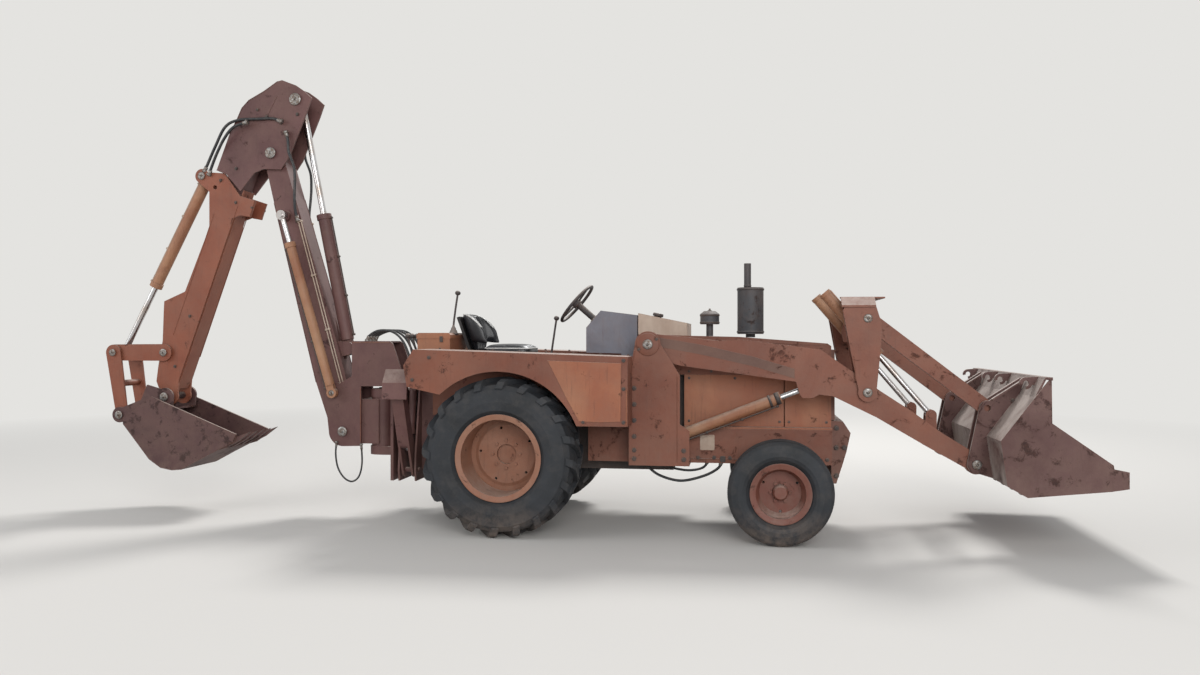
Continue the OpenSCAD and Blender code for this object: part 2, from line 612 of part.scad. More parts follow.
module hook() difference() {
    union() {
        translate([3990, 1262]) circle(44);
        polygon([[3990, 1306], [4080, 1312], [4052, 1250], [3990, 1250]]);
    }
    translate([3990, 1262]) circle(22);
    polygon([[3900, 1240], [3990, 1262], [3995, 1180], [3900, 1180]]);
}

// Digger
cheek_in = boom_half + 15;
module swing_tower() color("#7a4430") placed() {
    both() {
        plate(cheek_in, 25) {
            translate(boom_foot) circle(135);
            translate(boom_cyl_base) circle(95);
            polygon([at(boom_foot, 270, 135), [-1490, 620], [-1490, 1160], [-1060, 1160], [-1191, 1546], [-1216, 1566],
                [-1575, 1568], [-1575, 1250], at(boom_cyl_base, 60, 95), at(boom_cyl_base, 180, 95),
                at(boom_foot, 180, 135)]);
        }
    }
    difference() {
        union() {
            translate([swing_x, 0, 615.3]) cylinder(r = 105, h = 444.4);
            block([-1500, -cheek_in - eps, 640], [swing_x, cheek_in + eps, 1040]);
        }
        translate([swing_x, 0, 500]) cylinder(r = 40, h = 700);
    }
    block([-1570, -cheek_in - eps, 1552], [-1216, cheek_in + eps, 1567]);
    both() pin(boom_cyl_base, 26, cheek_in + 25 - eps, cheek_in + 25 + 62);
    both() pin(boom_foot, 35, boom_half - 20, cheek_in + 40);
}
boom_a = heading(boom_foot, boom_tip);
boom_l = span(boom_foot, boom_tip);
module boom_outline() {
    circle(120);
    translate([boom_l, 0]) circle(92);
    polygon([[0, 120], [500, 150], [1300, 132], [2200, 108], [boom_l, 92],
        [boom_l, -92], [2200, -100], [1300, -126], [500, -138], [0, -120]]);
}
module boom() color("#6a3a34") placed() {
    difference() {
        union() {
            along(boom_foot, boom_a) {
                translate([0, boom_half, 0]) rotate([90, 0, 0]) linear_extrude(2 * boom_half) boom_outline();
            }
            both() plate(30, 26) {
                translate(crowd_base) circle(62);
                polygon([at(crowd_base, 100, 62), at(crowd_base, 270, 62), [-1830, 1400], [-1790, 1570]]);
            }
        }
        pin(boom_foot, 35.05, -300, 300);
        pin(boom_tip, 40.05, -300, 300);
        along(crowd_base, heading(crowd_base, crowd_eye)) block([-90, -30, -90], [1200, 30, 90]);
        along(boom_foot, boom_a) block([400, -boom_half + plate_t, -95], [2100, boom_half - plate_t, 85]);
    }
    both() pin(boom_cyl_eye, 48, boom_half - eps, bc_y - 46);
}
bc_a = heading(boom_cyl_base, boom_cyl_eye);
bc_l = span(boom_cyl_base, boom_cyl_eye);
bc_y = cheek_in + 25 + 6 + boom_cyl_d / 2;
module boom_barrels() color("#a8805c") placed() both() difference() {
    along(boom_cyl_base, bc_a, bc_y) barrel(1420, boom_cyl_d, 46, 46, 26);
    pin(boom_cyl_base, 26.05, 0, 400);
}
module boom_rods() color("#c9c9cc") placed() both()
    along(boom_cyl_base, bc_a, bc_y) ram(160, bc_l, 46, 44, 26, 40);

cr_a = heading(crowd_base, crowd_eye);
cr_l = span(crowd_base, crowd_eye);
module crowd_barrel() color("#6f3a36") placed() {
    along(crowd_base, cr_a) barrel(1260, crowd_d, hoe_rod_d, 56, 29.5);
}
module crowd_rod() color("#d2d3d6") placed()
    along(crowd_base, cr_a) ram(950, cr_l, hoe_rod_d, 58, 40, 96);

// The head's plates stand outside the boom; the inner beam hangs from them
slide_a = 250;
slide_o = [-2880, 2622];
module dipper_head() polygon([[-2250, 3958], [-2113, 3904], [-2034, 3848], [-1964, 3785], [-2008, 3666],
    [-2179, 3260], [-2262, 3140], [-2434, 3150], [-2523, 3117], [-2660, 2950], [-2800, 3110], [-2895, 3150],
    [-2766, 3483], [-2696, 3606], [-2644, 3717], [-2576, 3785], [-2426, 3863], [-2290, 3950]]);
module dipper() color("#6c3a36") placed() {
    both() plate(boom_half + 15, plate_t) dipper_head();
    both() pin(boom_tip, 40, boom_half - 25, boom_half + 15 + plate_t + 14);
    plate(-boom_half - 15 - eps, 2 * (boom_half + 15 + eps))
        polygon([[-2895, 3150], [-2766, 3483], [-2696, 3606], [-2644, 3717], [-2576, 3785], [-2426, 3863],
            [-2290, 3950], [-2284, 3934], [-2416, 3848], [-2564, 3772], [-2630, 3706], [-2682, 3598],
            [-2752, 3475], [-2878, 3150]]);
    along(slide_o, slide_a) block([-700, -80, -84], [1180, 80, 84]);
    both() block([-2740, 79, 3170], [-2610, boom_half + 15 + eps, 3240]);
    both() pin(crowd_eye, 44, boom_half + 15 + plate_t - eps, boom_half + 15 + plate_t + 8);
}
module sleeve_side() {
    translate(hoe_pin) circle(80);
    translate(curl_base) circle(66);
    translate(guide_pin) circle(78);
    polygon([[-3067, 3144], [-2833, 3124], [-2681, 2914], [-2524, 2862], [-2580, 2711], [-2678, 2731],
        [-2760, 2703], [-2776, 2622], [-3295, 1196], at(hoe_pin, 20, 80), at(hoe_pin, 200, 80), [-3520, 1190],
        [-3500, 1337], [-3456, 1572], [-3445, 1862], [-3440, 1940], [-3230, 2029], [-2985, 2623], [-2985, 2956],
        at(curl_base, 240, 66)]);
}
module dipper_sleeve() color("#a85c38") placed() {
    difference() {
        union() {
            both() plate(92, plate_t) sleeve_side();
            along(slide_o, slide_a) {
                block([-400, -92 - eps, 92], [1560, 92 + eps, 104]);
                block([-300, -92 - eps, -104], [1400, 92 + eps, -92]);
                both() for (x = [-180, 40]) block([x, 80.3, -60], [x + 70, 92 + eps, 60]);
            }
        }
        pin(hoe_pin, 32, -300, 300);
        pin(guide_pin, 28.05, -300, 300);
        pin(curl_base, 28.05, -300, 300);
        pin([-2927, 2996], 20, -300, 300);
    }
}
cu_a = heading(curl_base, curl_eye);
cu_l = span(curl_base, curl_eye);
module curl_barrel() color("#b4744a") placed() {
    along(curl_base, cu_a) barrel(1160, curl_d, hoe_rod_d, 52, 50);
    pin(curl_base, 28, -118, 118);
}
module curl_rod() color("#d2d3d6") placed()
    along(curl_base, cu_a) ram(625, cu_l, hoe_rod_d, 52, 46, 80);
module guide_link() color("#8c5038") placed() {
    both() plate(120, 18) link2d(guide_pin, 78, curl_eye, 76);
    pin(guide_pin, 28, -146, 146);
    both() pin(curl_eye, 26, 138 - eps, 174);
}
module hoe_link() color("#8c5038") placed() {
    both() difference() {
        plate(145, 18) link2d(curl_eye, 74, hoe_eye, 58);
        pin(curl_eye, 26.05, 0, 300);
    }
    pin((curl_eye + hoe_eye) / 2, 30, -146, 146);
}
module hoe_bucket() color("#58332f") placed() {
    both() plate(hoe_half - 12, 12)
        polygon([[-3740, 845], [-3738, 799], [-3580, 606], [-3477, 479], [-3362, 403], [-3249, 383], [-3156, 391],
            [-2987, 480], [-2650, 651], [-2616, 724], [-3454, 1058]]);
    plate(-hoe_half + 12 - eps, 2 * (hoe_half - 12 + eps))
        polygon([[-3335, 945], [-3742, 862], [-3738, 799], [-3580, 606], [-3477, 479], [-3362, 403], [-3249, 383],
            [-3156, 391], [-2987, 480], [-2650, 651], [-2640, 668], [-2992, 496], [-3160, 407], [-3248, 399],
            [-3355, 418], [-3466, 491], [-3567, 616], [-3722, 805], [-3725, 849], [-3335, 929]]);
    // Side cutters along the mouth, and the lip plate that carries the teeth
    both() plate(hoe_half - 2, 10) polygon([[-3330, 1008], [-2616, 724], [-2650, 651], [-2740, 650], [-3345, 890]]);
    plate(-hoe_half + 4, 2 * (hoe_half - 4)) polygon([[-2850, 548], [-2640, 656], [-2648, 676], [-2856, 570]]);
    for (i = [0:hoe_teeth - 1]) {
        y = -hoe_half + 40 + i * (2 * hoe_half - 80) / (hoe_teeth - 1);
        plate(y - 28, 56) polygon([[-2790, 576], [-2720, 596], [-2640, 650], [-2620, 700], [-2790, 628]]);
        plate(y - 20, 40) polygon([[-2680, 622], [-2620, 652], [-2500, 742], [-2640, 690]]);
    }
    both() difference() {
        plate(120 + 55, 22) {
            translate(hoe_eye) circle(72);
            translate(hoe_pin) circle(82);
            polygon([at(hoe_eye, 190, 72), at(hoe_eye, 70, 72), [-3620, 1020], [-3560, 1160], at(hoe_pin, 120, 82),
                at(hoe_pin, 0, 82), [-3310, 945], [-3345, 929], [-3760, 850], [-3776, 845]]);
        }
        pin(hoe_pin, 31.95, 0, 400);
    }
    pin(hoe_pin, 31.95, -210, 210);
    both() pin(hoe_eye, 30, 169, 175 + eps);
    both() pin(hoe_eye, 30, 197 - eps, 207);
}

// Stabilisers, drawn for the left side
stab_pin = [500, 470];
stab_cyl_base = [400, 1200];
stab_eye = at(stab_pin, stab_fold, 170) + 60 * [-sin(stab_fold), cos(stab_fold)];
module stab_leg() {
    foot = at(stab_pin, stab_fold, stab_len);
    root = at(stab_pin, stab_fold, 270);
    for (x = [-50, 32]) translate([-stab_back + x, 0, 0]) rotate([90, 0, 90]) linear_extrude(18) difference() {
        union() {
            link2d(stab_pin, 62, root, 58);
            link2d(stab_eye, 34, root, 34);
            link2d(stab_eye, 34, stab_pin, 40);
        }
        translate(stab_pin) circle(22.05);
    }
    translate([-stab_back - 50, 0, 0]) rotate([90, 0, 90]) linear_extrude(100) link2d(root, 58, foot, 45);
    translate([-stab_back - 105, 0, 0]) rotate([90, 0, 90]) linear_extrude(210)
        polygon([at(foot, 100, 120), at(foot, 60, 55), at(foot, -20, 55), at(foot, -60, 120),
            at(foot, -54, 135), at(foot, 20, 75), at(foot, 94, 135)]);
}
st_a = heading(stab_cyl_base, stab_eye);
st_l = span(stab_cyl_base, stab_eye);
module crosswise() translate([-stab_back, 0, 0]) rotate([0, 0, 90]) children();
module stab_barrel() difference() {
    crosswise() along(stab_cyl_base, st_a) barrel(st_l - 125, 64, 34, 34, 28);
    crosswise() pin(stab_cyl_base, 18.05, -100, 100);
}
module stab_rod() crosswise() along(stab_cyl_base, st_a) ram(110, st_l, 34, 30, 26, 26);

chassis();
drivetrain();
engine_block();
hood();
side_panels();
nose_weight();
cowl();
hood_tank();
deck();
fenders();
side_tanks();
rear_box();
seat_base();
seat_pads();
steering_post();
exhaust();
air_cleaner();
front_axle();
rear_frame();
hoe_levers();
color("#a8633e") placed() rear_rim();  // rear_rim_left
color("#a8633e") placed() mirror([0, 1, 0]) rear_rim();  // rear_rim_right
color("#2b2c30") placed() rear_tyre();  // rear_tyre_left
color("#2b2c30") placed() mirror([0, 1, 0]) rear_tyre();  // rear_tyre_right
color("#6a3e30") placed() knuckle();  // knuckle_left
color("#6a3e30") placed() mirror([0, 1, 0]) knuckle();  // knuckle_right
tie_rod();
color("#7d2f26") placed() front_rim();  // front_rim_left
color("#7d2f26") placed() mirror([0, 1, 0]) front_rim();  // front_rim_right
color("#2b2c30") placed() front_tyre();  // front_tyre_left
color("#2b2c30") placed() mirror([0, 1, 0]) front_tyre();  // front_tyre_right
loader_arms();
lift_barrels();
lift_rods();
rockers();
tilt_barrels();
tilt_rods();
bucket_links();
loader_bucket();
swing_tower();
boom();
boom_barrels();
boom_rods();
crowd_barrel();
crowd_rod();
dipper();
dipper_sleeve();
curl_barrel();
curl_rod();
guide_link();
hoe_link();
hoe_bucket();
color("#70402f") placed() stab_leg();  // stabiliser_left
color("#70402f") placed() mirror([0, 1, 0]) stab_leg();  // stabiliser_right
color("#5c3a30") placed() stab_barrel();  // stab_barrel_left
color("#5c3a30") placed() mirror([0, 1, 0]) stab_barrel();  // stab_barrel_right
color("#b9babd") placed() stab_rod();  // stab_rod_left
color("#b9babd") placed() mirror([0, 1, 0]) stab_rod();  // stab_rod_right
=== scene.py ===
# %% [markdown]
# # Dressing a backhoe loader
# The machine comes packed from its CAD source: plates, pins, cylinders, wheels and buckets,
# already in place and in metres, with +X towards the loader bucket and +Z up. This lesson
# gives it the look of an old machine that stands outdoors: faded paint, rust, dust, rubber,
# hoses, welds and a worn seat. Nothing that the CAD made is moved.

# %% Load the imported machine
import json
import math

import bpy
import numpy as np
from mathutils.bvhtree import BVHTree
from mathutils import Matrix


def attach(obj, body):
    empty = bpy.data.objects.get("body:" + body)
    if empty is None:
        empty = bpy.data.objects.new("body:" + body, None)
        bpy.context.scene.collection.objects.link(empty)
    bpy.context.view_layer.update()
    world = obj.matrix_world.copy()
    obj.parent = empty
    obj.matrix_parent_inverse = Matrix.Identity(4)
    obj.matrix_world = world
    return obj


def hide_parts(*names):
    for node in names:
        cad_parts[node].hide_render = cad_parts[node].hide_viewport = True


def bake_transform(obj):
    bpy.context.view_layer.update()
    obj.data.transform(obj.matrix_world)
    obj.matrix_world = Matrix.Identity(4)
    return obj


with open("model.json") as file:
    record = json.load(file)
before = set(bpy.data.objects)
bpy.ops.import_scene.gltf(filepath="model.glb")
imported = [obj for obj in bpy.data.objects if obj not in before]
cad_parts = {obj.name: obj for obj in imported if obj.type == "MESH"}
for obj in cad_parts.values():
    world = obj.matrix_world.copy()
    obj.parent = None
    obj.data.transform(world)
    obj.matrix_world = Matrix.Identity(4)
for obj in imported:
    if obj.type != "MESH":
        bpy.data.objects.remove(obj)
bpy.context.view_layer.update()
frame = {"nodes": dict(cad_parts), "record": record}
nodes = frame["nodes"]
scene = bpy.context.scene
slot_of = {part["node"]: part["material_slot"] for part in frame["record"]["subparts"]}
bodies = frame["record"]["behaviour"]["bodies"]
body_of = {node: body for body, held in bodies.items() for node in held}
AXLE_X = -0.3195  # the rear axle in the shared frame; the machine's own x starts there

# %% [markdown]
# The camera stands where the photographer stood, level, looking at the right-hand side and
# turned a little towards the rear. A wide lens shows the depth of wheels and buckets.

# %% Camera
EYE = (1.915 + AXLE_X, -8.30, 1.60)
TOWARDS_REAR = 8.5  # degrees off straight across
LENS = 28.44
SENSOR = 36.0  # both in millimetres
camera_data = bpy.data.cameras.new("camera")
camera_data.lens = LENS
camera_data.sensor_width = SENSOR
camera = bpy.data.objects.new("camera", camera_data)
camera.location = EYE
camera.rotation_euler = (math.radians(90), 0, math.radians(TOWARDS_REAR))
scene.collection.objects.link(camera)
bpy.context.scene.camera = camera
bpy.context.scene.view_settings.view_transform = "Standard"
print("view across, degrees:", round(2 * math.degrees(math.atan(SENSOR / 2 / LENS)), 1))

# %% [markdown]
# A material is a small tree of nodes. One function adds any node with its settings and
# links, so that each finish below reads as a recipe. Colours are written as they look on a
# screen, in hex, and are turned to the linear values that light is computed with.

# %% Colours and nodes
def linear(hex_code):
    """sRGB hex to linear RGBA: c / 12.92 up to 0.04045, above it ((c + 0.055) / 1.055) ^ 2.4."""
    c = np.array([int(hex_code[i:i + 2], 16) for i in (1, 3, 5)]) / 255.0
    out = np.where(c <= 0.04045, c / 12.92, ((c + 0.055) / 1.055) ** 2.4)
    return (float(out[0]), float(out[1]), float(out[2]), 1.0)


def wire(owner, node, links):
    """Feeds each input of the node, given by name or number, from its source."""
    for name, source in links.items():
        owner.node_tree.links.new(source, node.inputs[name])


def add(owner, kind, props=(), values=(), links=()):
    """One shader node: props are its own settings, values go on its sockets, links feed them."""
    node = owner.node_tree.nodes.new("ShaderNode" + kind)
    for name, value in dict(props).items():
        setattr(node, name, value)
    for name, value in dict(values).items():
        node.inputs[name].default_value = value
    wire(owner, node, dict(links))
    return node


def new_material(name):
    """An empty material with its Principled shader joined to the output."""
    material = bpy.data.materials.new(name)
    material.use_nodes = True
    material.node_tree.nodes.clear()
    shader = add(material, "BsdfPrincipled")
    add(material, "OutputMaterial", links={"Surface": shader.outputs[0]})
    return material, shader


print("#808080 in linear light:", round(linear("#808080")[0], 3))

# %% [markdown]
# Age shows in patches. A patch is noise at a real size, squeezed until it has a border. Some
# lie only on certain sides, or near the ground, and each goes over the last as a coat does.

# %% Patches and coats
def patches(m, spot, size_mm, low, high, detail=4.0, rough=0.6, distort=0.0, stretch=(1, 1, 1)):
    """Mask from noise whose largest blots are size_mm across, longer along an axis by its
    stretch, then (noise - low) / (high - low) kept between 0 and 1."""
    place = add(m, "Mapping", values={"Scale": [1.0 / s for s in stretch]}, links={"Vector": spot})
    blots = add(m, "TexNoise", values={"Scale": 1000.0 / size_mm, "Detail": detail,
                                       "Roughness": rough, "Distortion": distort},
                links={"Vector": place.outputs[0]})
    return add(m, "MapRange", values={"From Min": low, "From Max": high},
               links={"Value": blots.outputs["Fac"]}).outputs[0]


def only_where(m, mask, source, low, high):
    """The mask times a gate that is shut while source is at low and open from high on."""
    gate = add(m, "MapRange", values={"From Min": low, "From Max": high}, links={"Value": source})
    return add(m, "Math", {"operation": "MULTIPLY"},
               links={0: mask, 1: gate.outputs[0]}).outputs[0]


def coat(m, under, top, mask, share=1.0):
    """Lays the top colour over the one under it, by mask times share. A colour is a hex code
    or a socket."""
    amount = add(m, "Math", {"operation": "MULTIPLY"}, {1: share}, {0: mask})
    mixed = add(m, "Mix", {"data_type": "RGBA"}, links={0: amount.outputs[0]})
    for index, colour in ((6, under), (7, top)):
        if isinstance(colour, str):
            mixed.inputs[index].default_value = linear(colour)
        else:
            wire(m, mixed, {index: colour})
    return mixed.outputs[2]


print("helpers ready: patches, only_where, coat")

# %% [markdown]
# Old machine enamel is sprayed over primer. Sun turns it chalky, it chips along edges, rust
# creeps under it in blots and runs down in streaks, and dust settles on what faces up. That
# pale coat on top is also painted top light, and faces to the rear can take painted sunlight.
# Each is one mask at its real size. Edges are where rounding the normal changes it.

# %% Weathered enamel on steel
GRIME = "#6f574a"
PRIMER = "#8a6350"
SPLASH = "#7b685b"


def chipped(m, spot):
    """Mask of worn edges, in patches: it starts where a normal rounded over 7 mm leans 10
    degrees off the flat one and is full at 26."""
    soft = add(m, "Bevel", {"samples": 4}, {"Radius": 0.007}).outputs[0]
    flat = add(m, "NewGeometry").outputs["Normal"]
    facing = add(m, "VectorMath", {"operation": "DOT_PRODUCT"}, links={0: soft, 1: flat})
    return only_where(m, patches(m, spot, 34, 0.40, 0.56, 4, 0.7),
                      facing.outputs["Value"], 0.985, 0.90)


def weathered(name, paint, chalk, rust="#4a271b", deep="#2c1b17", dust_and_top_light_tone="#c6b7ab",
              rust_share=0.5, dust_and_top_light_share=0.6, rough=0.60, back=None, runs=0.34):
    """Sprayed enamel, chalked and rusting. rust_share, runs (streaks of rust) and the share of dust
    with painted top light go from 0 to 1; back is the colour of what faces the rear, bleached
    paint with painted sunlight on it."""
    m, shader = new_material(name)
    where = add(m, "TexCoord")
    spot = where.outputs["Object"]
    height = add(m, "SeparateXYZ", links={0: spot}).outputs["Z"]
    side = add(m, "SeparateXYZ", links={0: where.outputs["Normal"]})
    # chalk in clouds, streaks twelve times as long as wide, and a film of grime
    colour = coat(m, paint, chalk, patches(m, spot, 620, 0.36, 0.66, 5, 0.62, 0.6))
    streaks = patches(m, spot, 24, 0.56, 0.72, 5, 0.7, 0.1, stretch=(1, 1, 12))
    colour = coat(m, colour, rust, streaks, runs)
    colour = coat(m, colour, GRIME, patches(m, spot, 260, 0.40, 0.62, 8, 0.75, 0.3), 0.22)
    # rust in blots, itself grainy, and chips down to primer and rust
    grain = patches(m, spot, 18, 0.3, 0.7, 3, 0.7)
    edge = 0.68 - 0.22 * rust_share
    blots = patches(m, spot, 150, edge, edge + 0.06, 10, 0.74, 0.4)
    colour = coat(m, colour, coat(m, rust, deep, grain), blots, 0.85)
    colour = coat(m, colour, coat(m, PRIMER, rust, grain), chipped(m, spot), 0.8)
    # bleach and painted sunlight at the back, dust and painted top light on top, splashed near the ground
    if back:
        bleach_and_sunlight = only_where(m, patches(m, spot, 330, 0.34, 0.56, 7, 0.7, 0.4),
                          side.outputs["X"], -0.45, -0.80)
        colour = coat(m, colour, back, bleach_and_sunlight, 0.85)
    dust_and_top_light = only_where(m, patches(m, spot, 80, 0.18, 0.66, 9, 0.75), side.outputs["Z"], 0.25, 0.90)
    colour = coat(m, colour, dust_and_top_light_tone, dust_and_top_light, dust_and_top_light_share)
    low_down = only_where(m, patches(m, spot, 90, 0.42, 0.68, 6, 0.7), height, 0.85, 0.25)
    colour = coat(m, colour, SPLASH, low_down, 0.5 * dust_and_top_light_share)
    # rust is rougher than paint, and it stands up in pits and grains
    roughness = add(m, "MapRange", values={"To Min": rough, "To Max": 0.90}, links={"Value": blots})
    pits = add(m, "Mix", values={0: 0.5}, links={2: blots, 3: grain}).outputs[0]
    bump = add(m, "Bump", values={"Strength": 0.35, "Distance": 0.002}, links={"Height": pits})
    wire(m, shader, {"Base Color": colour, "Roughness": roughness.outputs[0],
                     "Normal": bump.outputs[0]})
    return m


print("dirt and primer:", GRIME, SPLASH, PRIMER)

# %% [markdown]
# Each part has aged in its own way: panels kept their orange, the arms went brown, the boom
# is maroon, and buckets are worn to rusty plate. The recipe stays and its colours change.

# %% Paints of this machine
# name, paint, its chalked tone, then rust and its dark grain where they aren't the usual ones
enamel = {
    "rust_orange": weathered("enamel_rust_orange", "#673624", "#7a4733"),
    "panel_orange": weathered("enamel_panel_orange", "#8a4e33", "#986346", rust_share=0.22),
    "sleeve_orange": weathered("enamel_sleeve_orange", "#743a24", "#844c36", rust_share=0.32),
    "maroon": weathered("enamel_maroon", "#4c2c2b", "#63423f", "#3f2420", "#231716", rust_share=0.40),
    "grey_sheet": weathered("enamel_dash_grey", "#595a64", "#74757e", rust_share=0.10, dust_and_top_light_share=0.5),
    # more dust and painted top light on this one's upper faces
    "pale_sheet": weathered("enamel_bleached", "#9c8574", "#b8a696", dust_and_top_light_tone="#d5cabd",
                            rust_share=0.2, dust_and_top_light_share=0.8, runs=0.12),
    "rear_rim": weathered("enamel_rear_rim", "#84543d", "#956c57", rust_share=0.32),
    "front_rim": weathered("enamel_front_rim", "#5c2b20", "#6d3a2d", rust_share=0.45),
    "barrel": weathered("enamel_cylinder", "#8a583c", "#a1785a", rust_share=0.25),
    # this one's rear faces get bleach and painted sunlight
    "bucket_steel": weathered("worn_bucket_plate", "#4b2e2b", "#614541", "#41261f", "#241817",
                              rust_share=0.60, rough=0.68, back="#a0948d"),
    "hoe_steel": weathered("worn_digging_plate", "#3e2526", "#533836", "#38211d", "#201516",
                           rust_share=0.65, rough=0.68),
    "dark_iron": weathered("oily_casting", "#302927", "#3f3633", "#33241e", "#1b1716",
                           rust_share=0.35, dust_and_top_light_share=0.4),
    "weight": weathered("painted_casting", "#633b2e", "#774e40"),
    "soot": weathered("sooted_pipe", "#292b2f", "#3b3c40", "#3c2922", "#1a1818",
                      rust_share=0.45, dust_and_top_light_share=0.4),
    "control": weathered("worn_black_paint", "#262426", "#363334", rust_share=0.25),
    "bare_band": weathered("enamel_bare_band", "#54362b", "#6a4a3c", rust_share=0.35),
}
print("enamels:", len(enamel))

# %% [markdown]
# Rubber is never quite black: it is a dark blue-grey that sun and dust lighten, and near the
# ground a tyre carries dried mud. A hose has a smooth cover with its wire braid just
# showing, drawn at 5 mm, coarser than it is, so that it is seen at all.

# %% Rubber
def grained(m, shader, colour, height, strength, depth, rough):
    """Gives the shader a colour, a roughness and a bump of the height, depth in metres."""
    bump = add(m, "Bump", values={"Strength": strength, "Distance": depth}, links={"Height": height})
    wire(m, shader, {"Base Color": colour, "Normal": bump.outputs[0]})
    shader.inputs["Roughness"].default_value = rough
    return m


def tyre_rubber():
    """Vulcanised rubber with carbon black, sun-greyed, dusty where the ground throws it."""
    m, shader = new_material("tyre_rubber")
    spot = add(m, "TexCoord").outputs["Object"]
    height = add(m, "SeparateXYZ", links={0: spot}).outputs["Z"]
    colour = coat(m, "#15181c", "#25282d", patches(m, spot, 330, 0.35, 0.65, 6, 0.65, 0.5))
    colour = coat(m, colour, "#4b4541", patches(m, spot, 120, 0.46, 0.68, 8, 0.72), 0.30)
    mud = only_where(m, patches(m, spot, 70, 0.35, 0.6, 7, 0.7), height, 0.30, 0.02)
    colour = coat(m, colour, "#74655a", mud, 0.55)
    return grained(m, shader, colour, patches(m, spot, 14, 0.0, 1.0, 4, 0.7), 0.25, 0.0015, 0.72)


def hose_rubber():
    """Smooth black cover of a wire-braided hose, dusty in blots, the braid just showing."""
    m, shader = new_material("hose_rubber")
    spot = add(m, "TexCoord").outputs["Object"]
    colour = coat(m, "#191b1f", "#5b544e", patches(m, spot, 60, 0.45, 0.70, 6, 0.7), 0.45)
    braid = patches(m, spot, 5, 0.0, 1.0, 2, 0.5)
    return grained(m, shader, colour, braid, 0.15, 0.0006, 0.5)


rubber = {"tyre": tyre_rubber(), "hose": hose_rubber()}
print("rubber:", sorted(rubber))

# %% [markdown]
# The hard chrome of a piston rod stays bright because its seal wipes it. Zinc on caps and
# nuts has gone dull. Vinyl has a pressed grain of 2 mm, drawn at 3 mm so that it shows.

# %% Chrome, zinc and vinyl
def plated(name, bright, dull, film, gloss, metallic):
    """Plated steel under a film of patches; gloss is the roughness without and with it."""
    m, shader = new_material(name)
    cover = patches(m, add(m, "TexCoord").outputs["Object"], *film)
    roughness = add(m, "MapRange", values={"To Min": gloss[0], "To Max": gloss[1]},
                    links={"Value": cover})
    wire(m, shader, {"Base Color": coat(m, bright, dull, cover), "Roughness": roughness.outputs[0]})
    shader.inputs["Metallic"].default_value = metallic
    return m


def vinyl(name, base, worn):
    """Calendered vinyl: cells 3 mm wide pressed into it, rubbed pale in patches."""
    m, shader = new_material(name)
    spot = add(m, "TexCoord").outputs["Object"]
    colour = coat(m, base, worn, patches(m, spot, 140, 0.42, 0.70, 5, 0.6), 0.6)
    cells = add(m, "TexVoronoi", values={"Scale": 330.0}, links={"Vector": spot})
    return grained(m, shader, colour, cells.outputs["Distance"], 0.22, 0.0006, 0.42)


other = {
    "rod": plated("hard_chrome", "#c9c9cb", "#a99f98", (160, 0.40, 0.70, 2, 0.5), (0.24, 0.34), 1.0),
    "plated": plated("dull_zinc", "#8f8e8c", "#6b5a4e", (22, 0.40, 0.62, 5, 0.7), (0.38, 0.68), 0.75),
    "seat_pad": vinyl("seat_vinyl_black", "#17181c", "#34353b"),
    "seat_shell": vinyl("seat_shell_plastic", "#1f1d1d", "#3a3634"),
    "piping": vinyl("seat_piping_white", "#c9c8c4", "#8f8c88"),
    "gauge_face": vinyl("gauge_face_black", "#101114", "#202226"),
}
finishes = {**enamel, **rubber, **other}
print("finishes:", len(finishes))

# %% [markdown]
# Every CAD node names the slot that its finish comes from. Its shape is right already, so
# all it needs is the new material in place of the plain one.

# %% Give every CAD node its finish
for name, obj in nodes.items():
    obj.data.materials.clear()
    obj.data.materials.append(finishes[slot_of[name]])
print("slots in use:", len(set(slot_of.values())))

# %% [markdown]
# Small parts are surfaces worked out from rings of points. A ring is a circle or outline
# carried along a path or an axis; joining ring to ring with quads and closing both ends
# gives a watertight skin. Whole arrays are quick, and the formula says what the shape is.

# %% Rings and skins
def site(points):
    """Machine millimetres to metres in the shared frame: divide by 1000, shift x by AXLE_X."""
    return np.asarray(points, float) / 1000.0 + np.array([AXLE_X, 0.0, 0.0])


def at(y, *spots):
    """The (x, z) spots as points at y."""
    return [(x, y, z) for x, z in spots]


def unit(v):
    """Each vector divided by its length."""
    return v / np.linalg.norm(v, axis=-1, keepdims=True)


def skin(rings):
    """Closed surface from rings[i, j]: a quad joins ring i to i + 1 between j and j + 1."""
    n, m = rings.shape[:2]
    i, j = np.meshgrid(np.arange(n - 1), np.arange(m), indexing="ij")
    k = (j + 1) % m
    quads = np.stack([i * m + j, i * m + k, (i + 1) * m + k, (i + 1) * m + j], -1).reshape(-1, 4)
    ends = [list(range(m))[::-1], list(range((n - 1) * m, n * m))]
    return rings.reshape(-1, 3), quads.tolist() + ends


def joined(shapes):
    """Many shapes as one: vertices stacked, each shape's face numbers moved on."""
    starts = np.cumsum([0] + [len(v) for v, _ in shapes])
    faces = [[int(i + first) for i in face] for (_, fs), first in zip(shapes, starts) for face in fs]
    return np.vstack([v for v, _ in shapes]), faces


print("rear axle in the shared frame:", site((0, 0, 640)))

# %% [markdown]
# Hoses, pipes and weld beads are tubes. A smooth curve goes through a few points, and a
# circle is carried along it, square to its direction.

